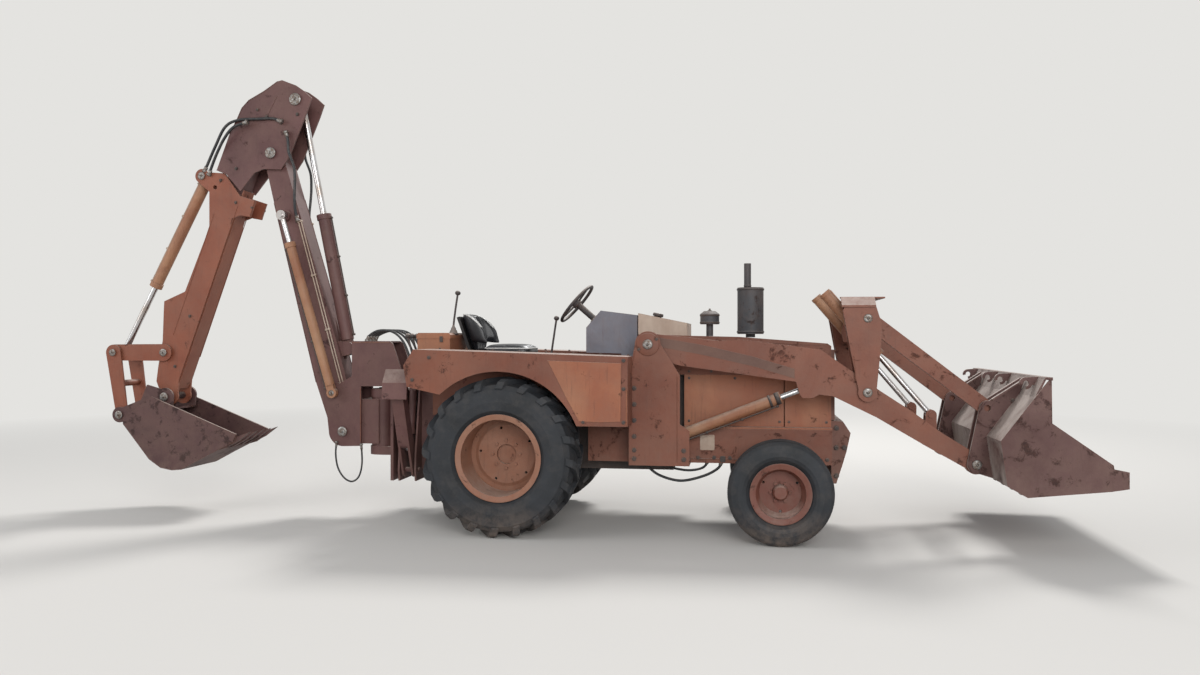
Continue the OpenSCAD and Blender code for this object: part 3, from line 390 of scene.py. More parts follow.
# %% Curves and tubes
def smooth(knots, step=0.012):
    """Catmull-Rom curve through the knots, then points at equal steps along its length."""
    p = np.asarray(knots, float)
    p = np.vstack([2 * p[0] - p[1], p, 2 * p[-1] - p[-2]])
    a, b, c, d = (p[k:len(p) - 3 + k, None] for k in range(4))
    t = np.linspace(0, 1, 24, endpoint=False)[None, :, None]
    line = 0.5 * (2 * b + (c - a) * t + (2 * a - 5 * b + 4 * c - d) * t ** 2
                  + (3 * b - a - 3 * c + d) * t ** 3).reshape(-1, 3)
    line = np.vstack([line, p[-2]])
    run = travelled(line)
    even = np.linspace(0, run[-1], max(3, int(run[-1] / step) + 1))
    return np.stack([np.interp(even, run, line[:, k]) for k in range(3)], -1)


def travelled(path):
    """Distance along the path to each of its points: running sum of the steps between them."""
    return np.concatenate([[0], np.cumsum(np.linalg.norm(np.diff(path, axis=0), axis=1))])


def length(path):
    """Distance along the whole path."""
    return float(travelled(path)[-1])


def tube(path, radius, sides=10, up=(0.02, 1.0, 0.03)):
    """Circle carried along the path: t is the tangent, s = unit(up x t), u = t x s."""
    t = unit(np.gradient(path, axis=0))
    s = unit(np.cross(np.broadcast_to(up, t.shape), t))
    u = np.cross(t, s)
    a = np.linspace(0, 2 * math.pi, sides, endpoint=False)[None, :, None]
    r = np.broadcast_to(radius, len(path))[:, None, None]
    return skin(path[:, None] + r * (np.cos(a) * s[:, None] + np.sin(a) * u[:, None]))


print("curve through three points:", round(length(smooth([(0, 0, 0), (1, 1, 0), (2, 0, 0)])), 2))

# %% [markdown]
# Caps, bands and knobs are a profile carried round an axis, as on a lathe. Bolts are one
# shape set down many times. Plates are an outline with a thickness, and most parts have a
# twin on the other side of the machine.

# %% Turned shapes, copies and plates
def turned(origin, axis, profile, sides=20):
    """Surface of revolution: profile rows are (distance along, radius) in millimetres."""
    t = unit(np.asarray(axis, float))
    s = unit(np.cross((0, 0, 1) if abs(t[2]) < 0.9 else (1, 0, 0), t))
    u = np.cross(t, s)
    a = np.linspace(0, 2 * math.pi, sides, endpoint=False)[None, :, None]
    along_axis, r = (np.array(profile, float) / 1000.0).T
    centre = np.asarray(origin, float) + along_axis[:, None] * t
    return skin(centre[:, None] + r[:, None, None] * (np.cos(a) * s + np.sin(a) * u))


def copies(shape, centres, axes):
    """The shape at each centre, its own z turned to the axis: c + x a1 + y a2 + z a3."""
    a3 = unit(np.asarray(axes, float))
    tall = np.abs(a3[:, 2:]) > 0.9
    a1 = unit(np.cross(np.where(tall, [[1.0, 0, 0]], [[0, 0, 1.0]]), a3))
    a2 = np.cross(a3, a1)
    v = shape[0][None]
    out = (np.asarray(centres, float)[:, None] + v[..., 0:1] * a1[:, None]
           + v[..., 1:2] * a2[:, None] + v[..., 2:3] * a3[:, None])
    return joined([(p, shape[1]) for p in out])


def slab(outline, thick, lift=(0, 0, 0), edge=2.0):
    """Plate with an outline in x and z (mm) and a thickness along y; its edges are broken by
    pulling the first and last ring towards the middle by edge."""
    o = np.asarray(outline, float)
    area = np.sum(o[:, 0] * np.roll(o[:, 1], -1) - np.roll(o[:, 0], -1) * o[:, 1])
    o = o if area < 0 else o[::-1]
    inner = o - edge * unit(o - o.mean(0))
    layers = [(inner, 0), (o, edge), (o, thick - edge), (inner, thick)]
    rings = [np.stack([p[:, 0], np.full(len(p), y), p[:, 1]], -1) for p, y in layers]
    return skin(site(np.array(rings) + np.asarray(lift, float)))


def rounded(x0, z0, x1, z1, r, n=5):
    """Outline of a box with round corners: four quarter circles of radius r."""
    a = np.linspace(0, math.pi / 2, n)
    corners = [(x1 - r, z1 - r, 0), (x0 + r, z1 - r, 1), (x0 + r, z0 + r, 2), (x1 - r, z0 + r, 3)]
    arcs = [np.stack([cx + r * np.cos(a + k * math.pi / 2), cz + r * np.sin(a + k * math.pi / 2)], -1)
            for cx, cz, k in corners]
    return np.vstack(arcs)


def mirrored(shape):
    """The same shape on the other side: y changes sign and each face is turned round."""
    return shape[0] * np.array([1, -1, 1]), [face[::-1] for face in shape[1]]


def on_both(shape):
    """The shape and its mirror image, joined."""
    return joined([shape, mirrored(shape)])


print("a clip has", len(slab(rounded(0, 0, 46, 50, 10), 8)[1]), "faces")

# %% [markdown]
# A shape becomes a piece when it has a mesh, a finish and a body to ride on. Its place is in
# its mesh, so the object stays at the origin.

# %% Put a shape into the scene
def dress(name, shape, finish, node, round_over=True, rides=True):
    """Makes a piece that rides on the body of the node. round_over shades it smooth; a piece
    that bends between two bodies doesn't ride on one."""
    mesh = bpy.data.meshes.new(name)
    mesh.from_pydata(shape[0].tolist(), [], shape[1])
    mesh.polygons.foreach_set("use_smooth", np.full(len(mesh.polygons), round_over))
    mesh.update()
    mesh.materials.append(finishes[finish])
    obj = bpy.data.objects.new(name, mesh)
    scene.collection.objects.link(obj)
    if rides:
        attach(obj, body_of[node])
    return obj


print("bodies to ride on:", len(bodies))

# %% [markdown]
# Every pin of such a machine ends in a washer with a grease nipple, and a keeper bolt
# beside it stops it from turning. One turned profile serves all pins, scaled to each.

# %% Pin caps and nipples
def pin_cap(x, y, z, r, side):
    """Washer with a broken edge and a nipple: rings along the pin, outwards from its end."""
    profile = [(-3, r * 0.9), (-3, r * 1.22), (3, r * 1.28), (6, r * 1.22), (6.5, r * 0.62), (5, 11),
               (9, 10), (10, 5), (17, 5), (19, 7), (23, 6), (26, 3), (26.5, 0.2)]
    return turned(site((x, side * y, z)), (0, side, 0), profile)


# node, x, z, end of the pin from the centre line, radius of the pin
pins = [
    ("chassis", 1165, 1545, 688, 32), ("rockers", 2887, 1170, 688, 28),
    ("bucket_links", 2890, 1750, 684, 26), ("loader_bucket", 3700, 623, 686, 28),
    ("swing_tower", -1660, 750, 160, 35), ("swing_tower", -1740, 1100, 207, 26),
    ("dipper", -2358, 3293, 154, 40), ("dipper", -2120, 3777, 148, 44),
    ("guide_link", -3430, 1460, 146, 28), ("guide_link", -3928, 1459, 174, 26),
    ("hoe_bucket", -3380, 1050, 210, 32), ("hoe_bucket", -3840, 878, 207, 30),
    ("curl_barrel", -3060, 3105, 118, 28),
]
for node in dict.fromkeys(row[0] for row in pins):
    caps = [pin_cap(x, y, z, r, side) for n, x, z, y, r in pins if n == node for side in (-1, 1)]
    dress("pin_caps_" + node, joined(caps), "plated", node)
print("pin caps:", 2 * len(pins))

# %% [markdown]
# Bolts are the same small hexagon many times over, with a chamfered top, on a washer. Arrays
# put a copy at each place, turned to its own axis.

# %% Bolts
def hex_bolt(across):
    """Washer, then a hexagon of the width across corners, then its chamfered top. The radius
    of a hexagon is cos 30 / cos a, where a is the angle off the middle of the nearest flat."""
    r = across / 2000.0
    a = np.linspace(0, 2 * math.pi, 12, endpoint=False)
    six = np.cos(math.pi / 6) / np.cos((a + math.pi / 6) % (math.pi / 3) - math.pi / 6)
    # share of the radius, height, and whether the ring has six sides
    layers = [(1.35, 0, 0), (1.35, 0.25, 0), (1.0, 0.26, 1), (1.0, 0.95, 1), (0.85, 1.1, 0),
              (0.02, 1.12, 0)]
    rings = []
    for share, height, sixed in layers:
        reach = r * share * np.where(sixed, six, 1)
        rings.append(np.stack([reach * np.cos(a), reach * np.sin(a), np.full(12, r * height)], -1))
    return skin(np.array(rings))


OUT = (0, 1.0, 0)
UP = (0, 0, 1.0)
REAR = (-1.0, 0, 0)
# name, node, width across corners, where the heads point, places on the left
bolt_rows = (
    ("tower_bolts", "chassis", 30, OUT,
     [(x, 676, z) for x in (1055, 1455) for z in (620, 690)]
     + [(1055, 676, z) for z in (800, 930, 1060, 1190)]),
    ("rail_bolts", "chassis", 26, OUT, [(x, 440, 610) for x in range(1560, 2620, 130)]),
    ("panel_bolts", "side_panels", 18, OUT,
     [(x, 352, z) for x in (1480, 1860, 2225, 2300, 2600) for z in (905, 1262)]),
    ("hood_bolts", "hood", 18, OUT, [(x, 350, 1318) for x in range(1480, 2620, 185)]),
    ("fender_bolts", "fenders", 24, OUT,
     at(1000, (690, 940), (1008, 940), (1008, 1200), (1008, 1420), (-700, 1260), (-560, 1440))),
    # the fender's top slopes down by 54 mm in 1733
    ("fender_top_bolts", "fenders", 18, UP,
     [(x, 540, 1505.2 - 54 * (x + 693) / 1733) for x in range(-620, 1000, 230)]),
    ("weight_bolts", "nose_weight", 34, OUT,
     at(350, (2680, 470), (2680, 700), (2680, 860), (2745, 700))),
    ("rear_plate_bolts", "rear_frame", 32, REAR,
     [(-1050, y, z) for y in (250, 500) for z in (450, 640, 860, 1080)]),
    ("sleeve_bolts", "dipper_sleeve", 24, OUT,
     at(112, (-2870, 3060), (-2720, 2850), (-2560, 2800), (-3180, 1800), (-3330, 1330))),
    ("head_bolts", "dipper", 26, OUT,
     at(140, (-2488, 3695), (-2398, 3629), (-2100, 3640), (-2700, 3160))),
    ("lug_bolts", "loader_bucket", 28, OUT, at(680, (3900, 900), (3860, 700), (3960, 1120))),
    ("keeper_bolts", "chassis", 26, OUT, at(676, (1235, 1585), (1095, 1505))),
)
count = 0
for name, node, across, heads, places in bolt_rows:
    left = np.asarray(places, float)
    spots = np.vstack([left, left * [1, -1, 1]])
    out = np.where(spots[:, 1:2] < 0, [1, -1, 1], [1, 1, 1]) * np.array(heads)
    dress(name, copies(hex_bolt(across), site(spots), out), "dark_iron", node, round_over=False)
    count += len(spots)
print("bolts:", count)

# %% [markdown]
# Where plates meet they are welded, and the bead stands a few millimetres proud with the
# ripple that the electrode leaves: a thin tube whose radius swells and shrinks.

# %% Weld beads
def bead(points, r=4.0, ripple=14.0):
    """Tube along straight seams; radius r (1 + 0.22 sin(2 pi s / ripple)) at distance s."""
    p = site(points)
    run = travelled(p)
    s = np.arange(0, run[-1], 0.0045)
    line = np.stack([np.interp(s, run, p[:, k]) for k in range(3)], -1)
    return tube(line, r / 1000 * (1 + 0.22 * np.sin(2 * math.pi * s / (ripple / 1000))), sides=6)


def along(line, s, t, y):
    """Point s along the line (two points in x and z) and t to its left, at y."""
    start = np.asarray(line[0], float)
    d = unit(np.asarray(line[1], float) - start)
    p = start + s * d + t * np.array([-d[1], d[0]])
    return (p[0], y, p[1])


BOOM = ((-1660, 750), (-2358, 3293))
SLEEVE = ((-2880, 2622), (-3225, 1675))
seams = {
    "boom": ("maroon", [[along(BOOM, s, t, 105) for s, t in edge] for edge in (
        ((500, 150), (1300, 132), (2200, 108)), ((500, -138), (1300, -126), (2200, -100)))]),
    "dipper": ("maroon", [
        at(140, (-2301, 3814), (-2398, 3629)), at(140, (-2895, 3152), (-2800, 3112)),
        at(140, (-2766, 3483), (-2696, 3606), (-2644, 3717), (-2576, 3785), (-2426, 3863),
           (-2290, 3950))]),
    "dipper_sleeve": ("sleeve_orange", [
        [along(SLEEVE, s, t, 112) for s in span] for span, t in (((-250, 1250), 100), ((-100, 1100), -100))]),
    "swing_tower": ("rust_orange", [
        at(145, (-1570, 1556), (-1216, 1556)), at(145, (-1492, 660), (-1492, 1150))]),
    "rockers": ("rust_orange", [
        at(680, (2722, 1840), (2940, 1840)), at(680, (2800, 1260), (2780, 1460))]),
    "loader_bucket": ("bucket_steel", [at(y, *seam) for seam in (
        ((3778, 850), (4012, 1172)), ((3774, 845), (3818, 530))) for y in (680, 550)]),
    "hoe_bucket": ("hoe_steel", [
        at(288, (-3738, 805), (-3580, 610), (-3477, 483), (-3362, 407), (-3249, 387), (-3156, 395),
           (-2987, 484))]),
    "chassis": ("rust_orange", [
        at(676, (1030, 1278), (1060, 1500)), at(676, (1402, 600), (1402, 1290)),
        at(440, (1500, 600), (1900, 600))]),
    "side_tanks": ("panel_orange", [at(1000, (1029, 915), (1034, 1200))]),
}
for node, (finish, lines) in seams.items():
    beads = [bead(line) for line in lines]
    dress("welds_" + node, joined(beads + [mirrored(b) for b in beads]), finish, node)
print("weld beads:", sum(2 * len(lines) for _, lines in seams.values()))

# %% [markdown]
# Oil reaches a moving part through a rubber hose, with a crimped sleeve and a nut at each
# end. Where it crosses a joint, the hose rides on neither body and each fitting on its own;
# the length of every hose is worked out along its curve.

# %% A hose and its fittings
def fitting(point, direction, r):
    """Crimped sleeve then nut, turned about the hose's own direction at its end."""
    profile = [(-2, r * 0.8), (-2, r * 1.9), (12, r * 1.9), (13, r * 1.35), (20, r * 1.4),
               (48, r * 1.4), (50, r * 1.0)]
    return turned(point, direction, profile, 12)


def hose(name, knots, bore, node, far=None):
    """Tube on a smooth curve. far is the node at its other end, if that is another body; then the
    tube rides on neither. Gives back its length."""
    path = smooth(site(knots))
    piece = dress(name, tube(path, bore / 2000.0), "hose", node, rides=not far)
    ends = ((node, path[0], path[1]), (far or node, path[-1], path[-2]))
    for held_by, end, inwards in ends:
        dress(f"{name}_fitting_b{held_by[:3]}", fitting(end, inwards - end, bore / 2), "plated", held_by)
    if far:
        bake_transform(piece)
    return length(path)


def fanned(y, route):
    """A route of (x, share, z) as points at share times y."""
    return [(x, share * y, z) for x, share, z in route]


runs = {}
print("a fitting has", len(fitting(np.zeros(3), (0, 0, 1), 12)[1]), "faces")

# %% [markdown]
# Hoses that cross a joint run in rows, so one route serves a row: its y is a share of each
# hose's own distance from the middle.

# %% Hoses over the joints
ELBOW = [(-2105, 0.72, 2666), (-2120, 0.85, 2760), (-2118, 0.97, 2880), (-2112, 1, 3010),
         (-2120, 1, 3150), (-2170, 1, 3290), (-2180, 1, 3400), (-2200, 1, 3480)]
HEAD_LONG = [(-2240, 1, 3572), (-2330, 1, 3604), (-2469, 1, 3606), (-2675, 1, 3600),
             (-2800, 1, 3540), (-2905, 0.9, 3370), (-2995, 0.75, 3215), (-3040, 0.62, 3150)]
HEAD_SHORT = [(-2560, 1, 3575), (-2700, 1, 3530), (-2790, 1, 3430), (-2880, 0.85, 3300),
              (-2950, 0.7, 3180), (-2985, 0.62, 3110)]
OVER_TOWER = [(-985, 0.9, 1240), (-1010, 0.95, 1390), (-1075, 1, 1560), (-1174, 1, 1650),
              (-1317, 0.8, 1662), (-1420, 0.6, 1620), (-1450, 0.55, 1570)]
# name, bore, node at each end, y and route of each hose, the points between which they bend
rows = (
    ("elbow_hose", 24, "boom", "dipper", ((-168, ELBOW), (168, ELBOW)),
     [(-2130, 1, 3080), (-2180, 1, 3380)]),
    ("head_hose", 26, "dipper", "dipper_sleeve", ((-160, HEAD_LONG), (-190, HEAD_SHORT)),
     [(-2760, 1, 3540), (-3010, 0.6, 3160)]),
    ("swing_hose", 22, "hoe_levers", "swing_tower", [(y, OVER_TOWER) for y in (-180, -60, 60, 180)],
     [(-1090, 1, 1500), (-1400, 1, 1600)]),
)
for row, bore, node, far, members, bend in rows:
    for k, (y, route) in enumerate(members):
        name = f"{row}_{k}"
        runs[name] = hose(name, fanned(y, route), bore, node, far)
print("hoses over joints, metres:", {name: round(m, 3) for name, m in runs.items()})

# %% [markdown]
# Three hoses hang free. Rubber over steel braid is stiff, so each leaves its fitting
# straight down and turns in one wide bow.

# %% Hanging loops
loops = (
    ("tower_loop", 16, "swing_tower",
     [(-1715, -158, 660), (-1722, -160, 540), (-1700, -160, 420), (-1640, -160, 330),
      (-1565, -160, 300), (-1500, -160, 350), (-1472, -160, 470), (-1480, -158, 640)]),
    ("frame_loop_long", 22, "chassis",
     at(-425, (1122, 590), (1150, 520), (1250, 450), (1418, 413), (1600, 455), (1720, 520),
        (1760, 590))),
    ("frame_loop_short", 20, "chassis",
     at(-385, (1270, 590), (1310, 528), (1401, 502), (1501, 496), (1600, 522), (1650, 590))),
)
for name, bore, node, knots in loops:
    runs[name] = hose(name, knots, bore, node)
print("loops, metres:", {name: round(runs[name], 3) for name, *_ in loops})

# %% [markdown]
# Along beams and cylinders the oil runs in steel pipes, held by saddle clamps. Each keeps
# its distance from a line between two pins. Collars are short wide rings on that line.

# %% Pipes and collars
def beside(line, spans, t, y, r=6.5):
    """Tube through the points at spans along the line, t off it."""
    return tube(smooth(site([along(line, s, t, y) for s in spans]), 0.02), r / 1000, sides=8)


def strap(line, s, t, y, high=12):
    """Saddle clamp over a pipe at s along the line."""
    c = np.array(along(line, s, t, y))
    return turned(site(c - [0, 12, 0]), (0, 1, 0), [(0, 4), (0, high), (24, high), (24, 4)], 10)


LIFT = ((1444, 812), (2419, 1193))
LIFT_Y = 525
BOOM_RAM = ((-1740, 1100), (-2225, 2713))
CROWD = ((-1660, 1500), (-2120, 3777))
CURL = ((-3060, 3105), (-3928, 1459))
# name, node, finish, line, three points along it, distance off it, y (0 is a single pipe)
pipes = (
    ("lift_pipes", "lift_barrels", "dark_iron", LIFT, (-120, 300, 790), -58, LIFT_Y),
    ("boom_pipes", "boom", "pale_sheet", BOOM, (420, 1200, 1960), -78, 113),
    ("boom_pipes_front", "boom", "pale_sheet", BOOM, (420, 1200, 1960), -104, 113),
    ("curl_pipe", "curl_barrel", "pale_sheet", CURL, (90, 600, 1120), -60, 0),
    ("crowd_pipe", "crowd_barrel", "dark_iron", CROWD, (120, 700, 1220), -68, 0),
    ("boom_ram_pipes", "boom_barrels", "dark_iron", BOOM_RAM, (60, 700, 1370), 51, 193),
)
for name, node, finish, line, spans, t, y in pipes:
    parts = [beside(line, spans, t, y)]
    parts += [strap(line, s, t, y) for s in np.linspace(spans[0], spans[-1], 4)]
    if y:
        parts += [mirrored(p) for p in parts]
    dress(name, joined(parts), finish, node)
# gland nut, ring and foot of each lift barrel, on its own axis
axis = np.array([LIFT[1][0] - LIFT[0][0], 0, LIFT[1][1] - LIFT[0][1]], float)
collars = [turned(site(along(LIFT, s, 0, LIFT_Y)), axis, [(0, 44), (0, 52), (wide, 52), (wide, 44)], 24)
           for s, wide in ((740, 20), (795, 36), (-150, 26))]
dress("lift_glands", joined(collars + [mirrored(c) for c in collars]), "control", "lift_barrels")
print("rows of pipes:", len(pipes), "collars:", 2 * len(collars))

# %% [markdown]
# Flat trim: the plate on each side tank, the bare band along each loader arm, the bare small
# plate on the frame, clips and brackets. Each is a thin plate with broken edges.

# %% Plates and brackets
TANK = [(408, 1419), (840, 1405), (990, 1400), (985, 945), (816, 938), (658, 944), (560, 1120)]
BAND = [(1255, 1600), (1600, 1542), (2000, 1450), (2330, 1352), (2330, 1276), (2000, 1372),
        (1600, 1462), (1255, 1524)]
BRACKET = [(-2684, 2913), (-2531, 2861), (-2580, 2713), (-2670, 2728)]
STRIP = [(1070, 1612), (2600, 1545), (2600, 1533), (1070, 1600)]
PIVOT = [(-2, 20), (-2, 92), (7, 92), (9, 88), (9, 34)]
clips = [slab(rounded(x, 575, x + 46, 625, 10), 8, (0, 440, 0)) for x in (1100, 1738)]
latches = [slab(rounded(-660, 1560, -630, 1612, 6), 10, (0, y, 0)) for y in (-430, 420)]
# name, node, finish, shape, shaded smooth or not
trim = (
    ("tank_plates", "side_tanks", "panel_orange", on_both(slab(TANK, 5, (0, 1000, 0))), False),
    ("arm_bands", "loader_arms", "bare_band", on_both(slab(BAND, 3, (0, 650, 0), 1)), False),
    ("frame_plate", "chassis", "pale_sheet",
     slab(rounded(1575, 672, 1695, 798, 10), 3, (0, -443, 0), 1), False),
    ("clip_brackets", "chassis", "dark_iron", on_both(joined(clips)), False),
    ("sleeve_brackets", "dipper_sleeve", "sleeve_orange", on_both(slab(BRACKET, 8, (0, 112, 0))), False),
    ("pivot_plates", "chassis", "rust_orange",
     on_both(turned(site((1165, 676, 1545)), OUT, PIVOT, 48)), True),
    ("box_latches", "rear_box", "dark_iron", joined(latches), False),
    ("hood_strips", "hood", "rust_orange", on_both(slab(STRIP, 6, (0, 350, 0))), False),
)
for name, node, finish, shape, round_over in trim:
    dress(name, shape, finish, node, round_over)
print("plates and brackets:", len(trim))

# %% [markdown]
# Round trim is turned: clamp bands of the muffler and air cleaner, the cleaner's nut, the
# filler cap, and gauges in the sloping dash with a bezel round each.

# %% Bands, cap and gauges
CLAMP = [(0, 0.97), (0, 1.05), (14, 1.05), (14, 0.97)]
TO_DRIVER = (-0.757, 0.0, 0.653)  # square to the dash


def bands(x, heights, radius, sides):
    """Clamp bands round an upright pipe: height in mm, radius as a share of the pipe's."""
    profile = [(s, share * radius) for s, share in CLAMP]
    return [turned(site((x, 0, z)), UP, profile, sides) for z in heights]


nut = turned(site((1640, 0, 1829)), UP, [(-2, 20), (6, 20), (8, 10), (22, 8), (24, 2)], 16)
dress("muffler_bands", joined(bands(1990, (1642, 2008), 112, 40) + bands(1965, (2040,), 31, 24)),
      "soot", "exhaust")
dress("air_cleaner_bands", joined(bands(1640, (1722, 1786), 82, 32) + [nut]),
      "dark_iron", "air_cleaner")
dress("filler_cap", turned(site((1190, -40, 1776)), (0.2, 0, 1),
                           [(-6, 34), (8, 34), (8, 46), (30, 46), (36, 40), (38, 2)], 28),
      "control", "hood_tank")
dials = [site((660, y, 1755)) for y in (-225, -130, 130, 225)]
BEZEL = [(-4, 36), (-4, 43), (8, 43), (11, 40), (11, 35), (4, 34)]
FACE = [(-3, 34), (5, 34), (5.5, 0.5)]
dress("gauge_bezels", joined([turned(p, TO_DRIVER, BEZEL, 28) for p in dials]), "plated", "cowl")
dress("gauge_faces", joined([turned(p, TO_DRIVER, FACE, 24) for p in dials]), "gauge_face", "cowl")
print("gauges:", len(dials))

# %% [markdown]
# Levers are bent rods with a knob, and each comes out of a rubber boot. Pedals are round pads
# on stalks, and the steering wheel has a cap on its hub.

# %% Levers, pedals and hub
KNOB = [(-14, 9), (-10, 18), (2, 25), (16, 22), (25, 12), (27, 1)]
BOOT = [(-8, 44), (6, 44), (10, 36), (30, 30), (34, 24), (54, 20), (58, 14), (74, 10)]
PAD = [(0, 40), (0, 46), (8, 46), (10, 42), (10, 2)]
PEDALS = (-300, -200, 230)
levers = (
    ("gear_lever", "deck", [(215, -60, 950), (210, -60, 1100), (240, -55, 1400), (292, -50, 1765)]),
    ("box_lever", "rear_box", at(-250, (-590, 1632), (-588, 1720), (-570, 1860), (-551, 1985))),
)
for name, node, path in levers:
    line = smooth(site(path), 0.02)
    rod = tube(line, 0.009, 10, (0, 1, 0.02))
    knob = turned(line[-1], line[-1] - line[-2], KNOB, 16)
    dress(name, joined([rod, knob, turned(line[0], UP, BOOT, 20)]), "control", node)
pads = [turned(site((610, y, 1075)), (-0.8, 0, 0.6), PAD, 20) for y in PEDALS]
stalks = [tube(smooth(site([(618, y, 1069), (690, y, 1010), (740, y, 957)]), 0.02), 0.010, 8)
          for y in PEDALS]
dress("pedals", joined(pads + stalks), "dark_iron", "deck")
dress("wheel_hub", turned(site((470, 0, 1898)), TO_DRIVER, [(-6, 30), (4, 32), (10, 26), (12, 2)], 24),
      "control", "steering_post")
print("levers:", len(levers), "pedals:", len(PEDALS))

# %% [markdown]
# A tractor seat is foam in vinyl. The cushion is a crowned closed form, and the back wraps
# round the driver and falls to the front in a quarter curve. Both start a little slim,
# because they will swell.

# %% Seat forms
CUSHION = (-128, 0, 1472)  # its middle
CUSHION_HALF = (222, 230, 54)
CROWN = 10
BACK_HALF, WINGS, BACK_THICK = 205, 190, 50  # half width, reach of the wings, thickness
WING_TOP, BACK_RISE = 1500, 318  # height of the wings, and of the middle above them
BACK_FOOT, FOOT_RISE = 1462, 92  # height of the foot, and its rise over the cushion
BACK_X, LEAN = -425, 0.30  # place of the foot, and lean for each millimetre up


def power(c, e):
    """Signed power: sign(c) |c|^e, which squares off a circle as e falls."""
    return np.sign(c) * np.abs(c) ** e


def cushion_form(n=48, m=28):
    """Rounded box: x = a pc(v) pc(u), y = b pc(v) ps(u), z = c ps(v), with crowned top."""
    u = np.linspace(0, 2 * math.pi, n, endpoint=False)[None]
    v = np.linspace(-0.499 * math.pi, 0.499 * math.pi, m)[:, None]
    a, b, c = CUSHION_HALF
    ring = power(np.cos(v), 0.42)
    x = a * ring * power(np.cos(u), 0.38)
    y = b * ring * power(np.sin(u), 0.38)
    z = c * power(np.sin(v), 0.55) * np.ones_like(u)
    crown = CROWN * (1 - (x / a) ** 2) * (1 - (y / b) ** 2) * (z > 0)
    return skin(site(np.stack([x, y, z + crown], -1) + np.array(CUSHION)))


def back_line(u):
    """Plan of the back: phi = 90 u degrees, y = half ps(phi), forward f = wings (1 - pc(phi));
    its top falls as a quarter ellipse of f, 200 long; its foot rises in an S, 60 long."""
    phi = u * math.pi / 2
    y, f = BACK_HALF * power(np.sin(phi), 0.6), WINGS * (1 - power(np.cos(phi), 0.6))
    top = WING_TOP + BACK_RISE * np.sqrt(1 - (f / 200) ** 2)
    t = np.clip(f / 60, 0, 1)
    foot = BACK_FOOT + FOOT_RISE * t ** 2 * (3 - 2 * t)
    return y, f, top, foot


def back_point(u, v, out):
    """Point of the back at height share v, out millimetres to the outside of its plan."""
    y, f, top, foot = back_line(u)
    y2, f2, _, _ = back_line(np.clip(u + 0.004, -1, 1))
    y1, f1, _, _ = back_line(np.clip(u - 0.004, -1, 1))
    n = unit(np.stack([-(y2 - y1), f2 - f1], -1))
    z = foot + v * (top - foot)
    x = BACK_X - LEAN * (z - 1455) + f
    return np.stack([x + n[..., 0] * out, y + n[..., 1] * out, z], -1)


def back_form(n=72, m=36):
    """Rings across the back from one wing's tip to the other, each a squared-off oval."""
    u = np.linspace(-0.985, 0.985, n)[:, None] * np.ones((1, m))
    a = np.linspace(0, 2 * math.pi, m, endpoint=False)[None] * np.ones((n, 1))
    taper = np.sqrt(1 - np.abs(u / 0.99) ** 14)
    out = -BACK_THICK / 2 * taper * power(np.sin(a), 0.7)
    return skin(site(back_point(u, 0.5 + 0.5 * power(np.cos(a), 0.5), out)))


cushion = dress("seat_cushion", cushion_form(), "seat_pad", "seat_pads")
back = dress("seat_back", back_form(), "seat_pad", "seat_pads")
print("slim forms, faces:", len(cushion.data.polygons), len(back.data.polygons))

# %% [markdown]
# A short cloth simulation with pressure swells both forms and pulls the sides in between the
# corners, and the result is written into the mesh. Channels are pressed in after it, because
# the remesh would lose anything so narrow.

# %% Swell and sew the seat
CHANNELS = (-0.12, -0.06, 0, 0.06, 0.12)  # y of the sewn channels, in metres


def plump(piece, cap, voxel=0.006, pressure=4.0, frames=20):
    """Voxel remesh, then cloth under pressure, without gravity, up to the last of the frames;
    no point moves further than cap."""
    remesh = piece.modifiers.new("remesh", "REMESH")
    remesh.mode = "VOXEL"
    remesh.voxel_size = voxel
    cloth = piece.modifiers.new("cloth", "CLOTH")
    cloth.settings.use_pressure = True
    cloth.settings.uniform_pressure_force = pressure
    cloth.settings.effector_weights.gravity = 0.0
    shapes = []
    for last in (1, frames):
        for step in range(1, last + 1):
            scene.frame_set(step)
            seen = piece.evaluated_get(bpy.context.evaluated_depsgraph_get())
        shapes.append(bpy.data.meshes.new_from_object(seen))
    slim, full = (np.empty(len(mesh.vertices) * 3) for mesh in shapes)
    shapes[0].vertices.foreach_get("co", slim)
    shapes[1].vertices.foreach_get("co", full)
    slim, move = slim.reshape(-1, 3), (full - slim).reshape(-1, 3)
    far = np.linalg.norm(move, axis=1, keepdims=True)
    swollen = slim + move * np.minimum(1, cap / np.maximum(far, 1e-9))
    piece.modifiers.clear()
    piece.data = shapes[0]
    piece.data.vertices.foreach_set("co", swollen.ravel())
    piece.data.polygons.foreach_set("use_smooth", np.ones(len(piece.data.polygons), bool))
    piece.data.update()
    scene.frame_set(1)
    return swollen


def sewn(piece, points, facing, depth=0.007, wide=0.007):
    """Presses channels: points that face the given way sink by depth exp(-(d / wide)^2),
    where d is the distance from the nearest channel in y. One subdivision follows."""
    normals = np.empty(len(points) * 3)
    piece.data.vertices.foreach_get("normal", normals)
    lies = np.clip((normals.reshape(-1, 3) @ facing - 0.55) / 0.3, 0, 1)
    d = np.abs(points[:, 1:2] - np.array(CHANNELS)).min(1)
    sink = (depth * np.exp(-(d / wide) ** 2) * lies)[:, None] * facing
    piece.data.vertices.foreach_set("co", (points - sink).ravel())
    piece.data.update()
    fine = piece.modifiers.new("subdivision", "SUBSURF")
    fine.levels = fine.render_levels = 1


for pad, facing, cap in ((cushion, (0, 0, 1), 0.009), (back, (1, 0, 0), 0.008)):
    sewn(pad, plump(pad, cap), np.array(facing, float))
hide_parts("seat_pads")
print("seat faces:", len(cushion.data.polygons), len(back.data.polygons))

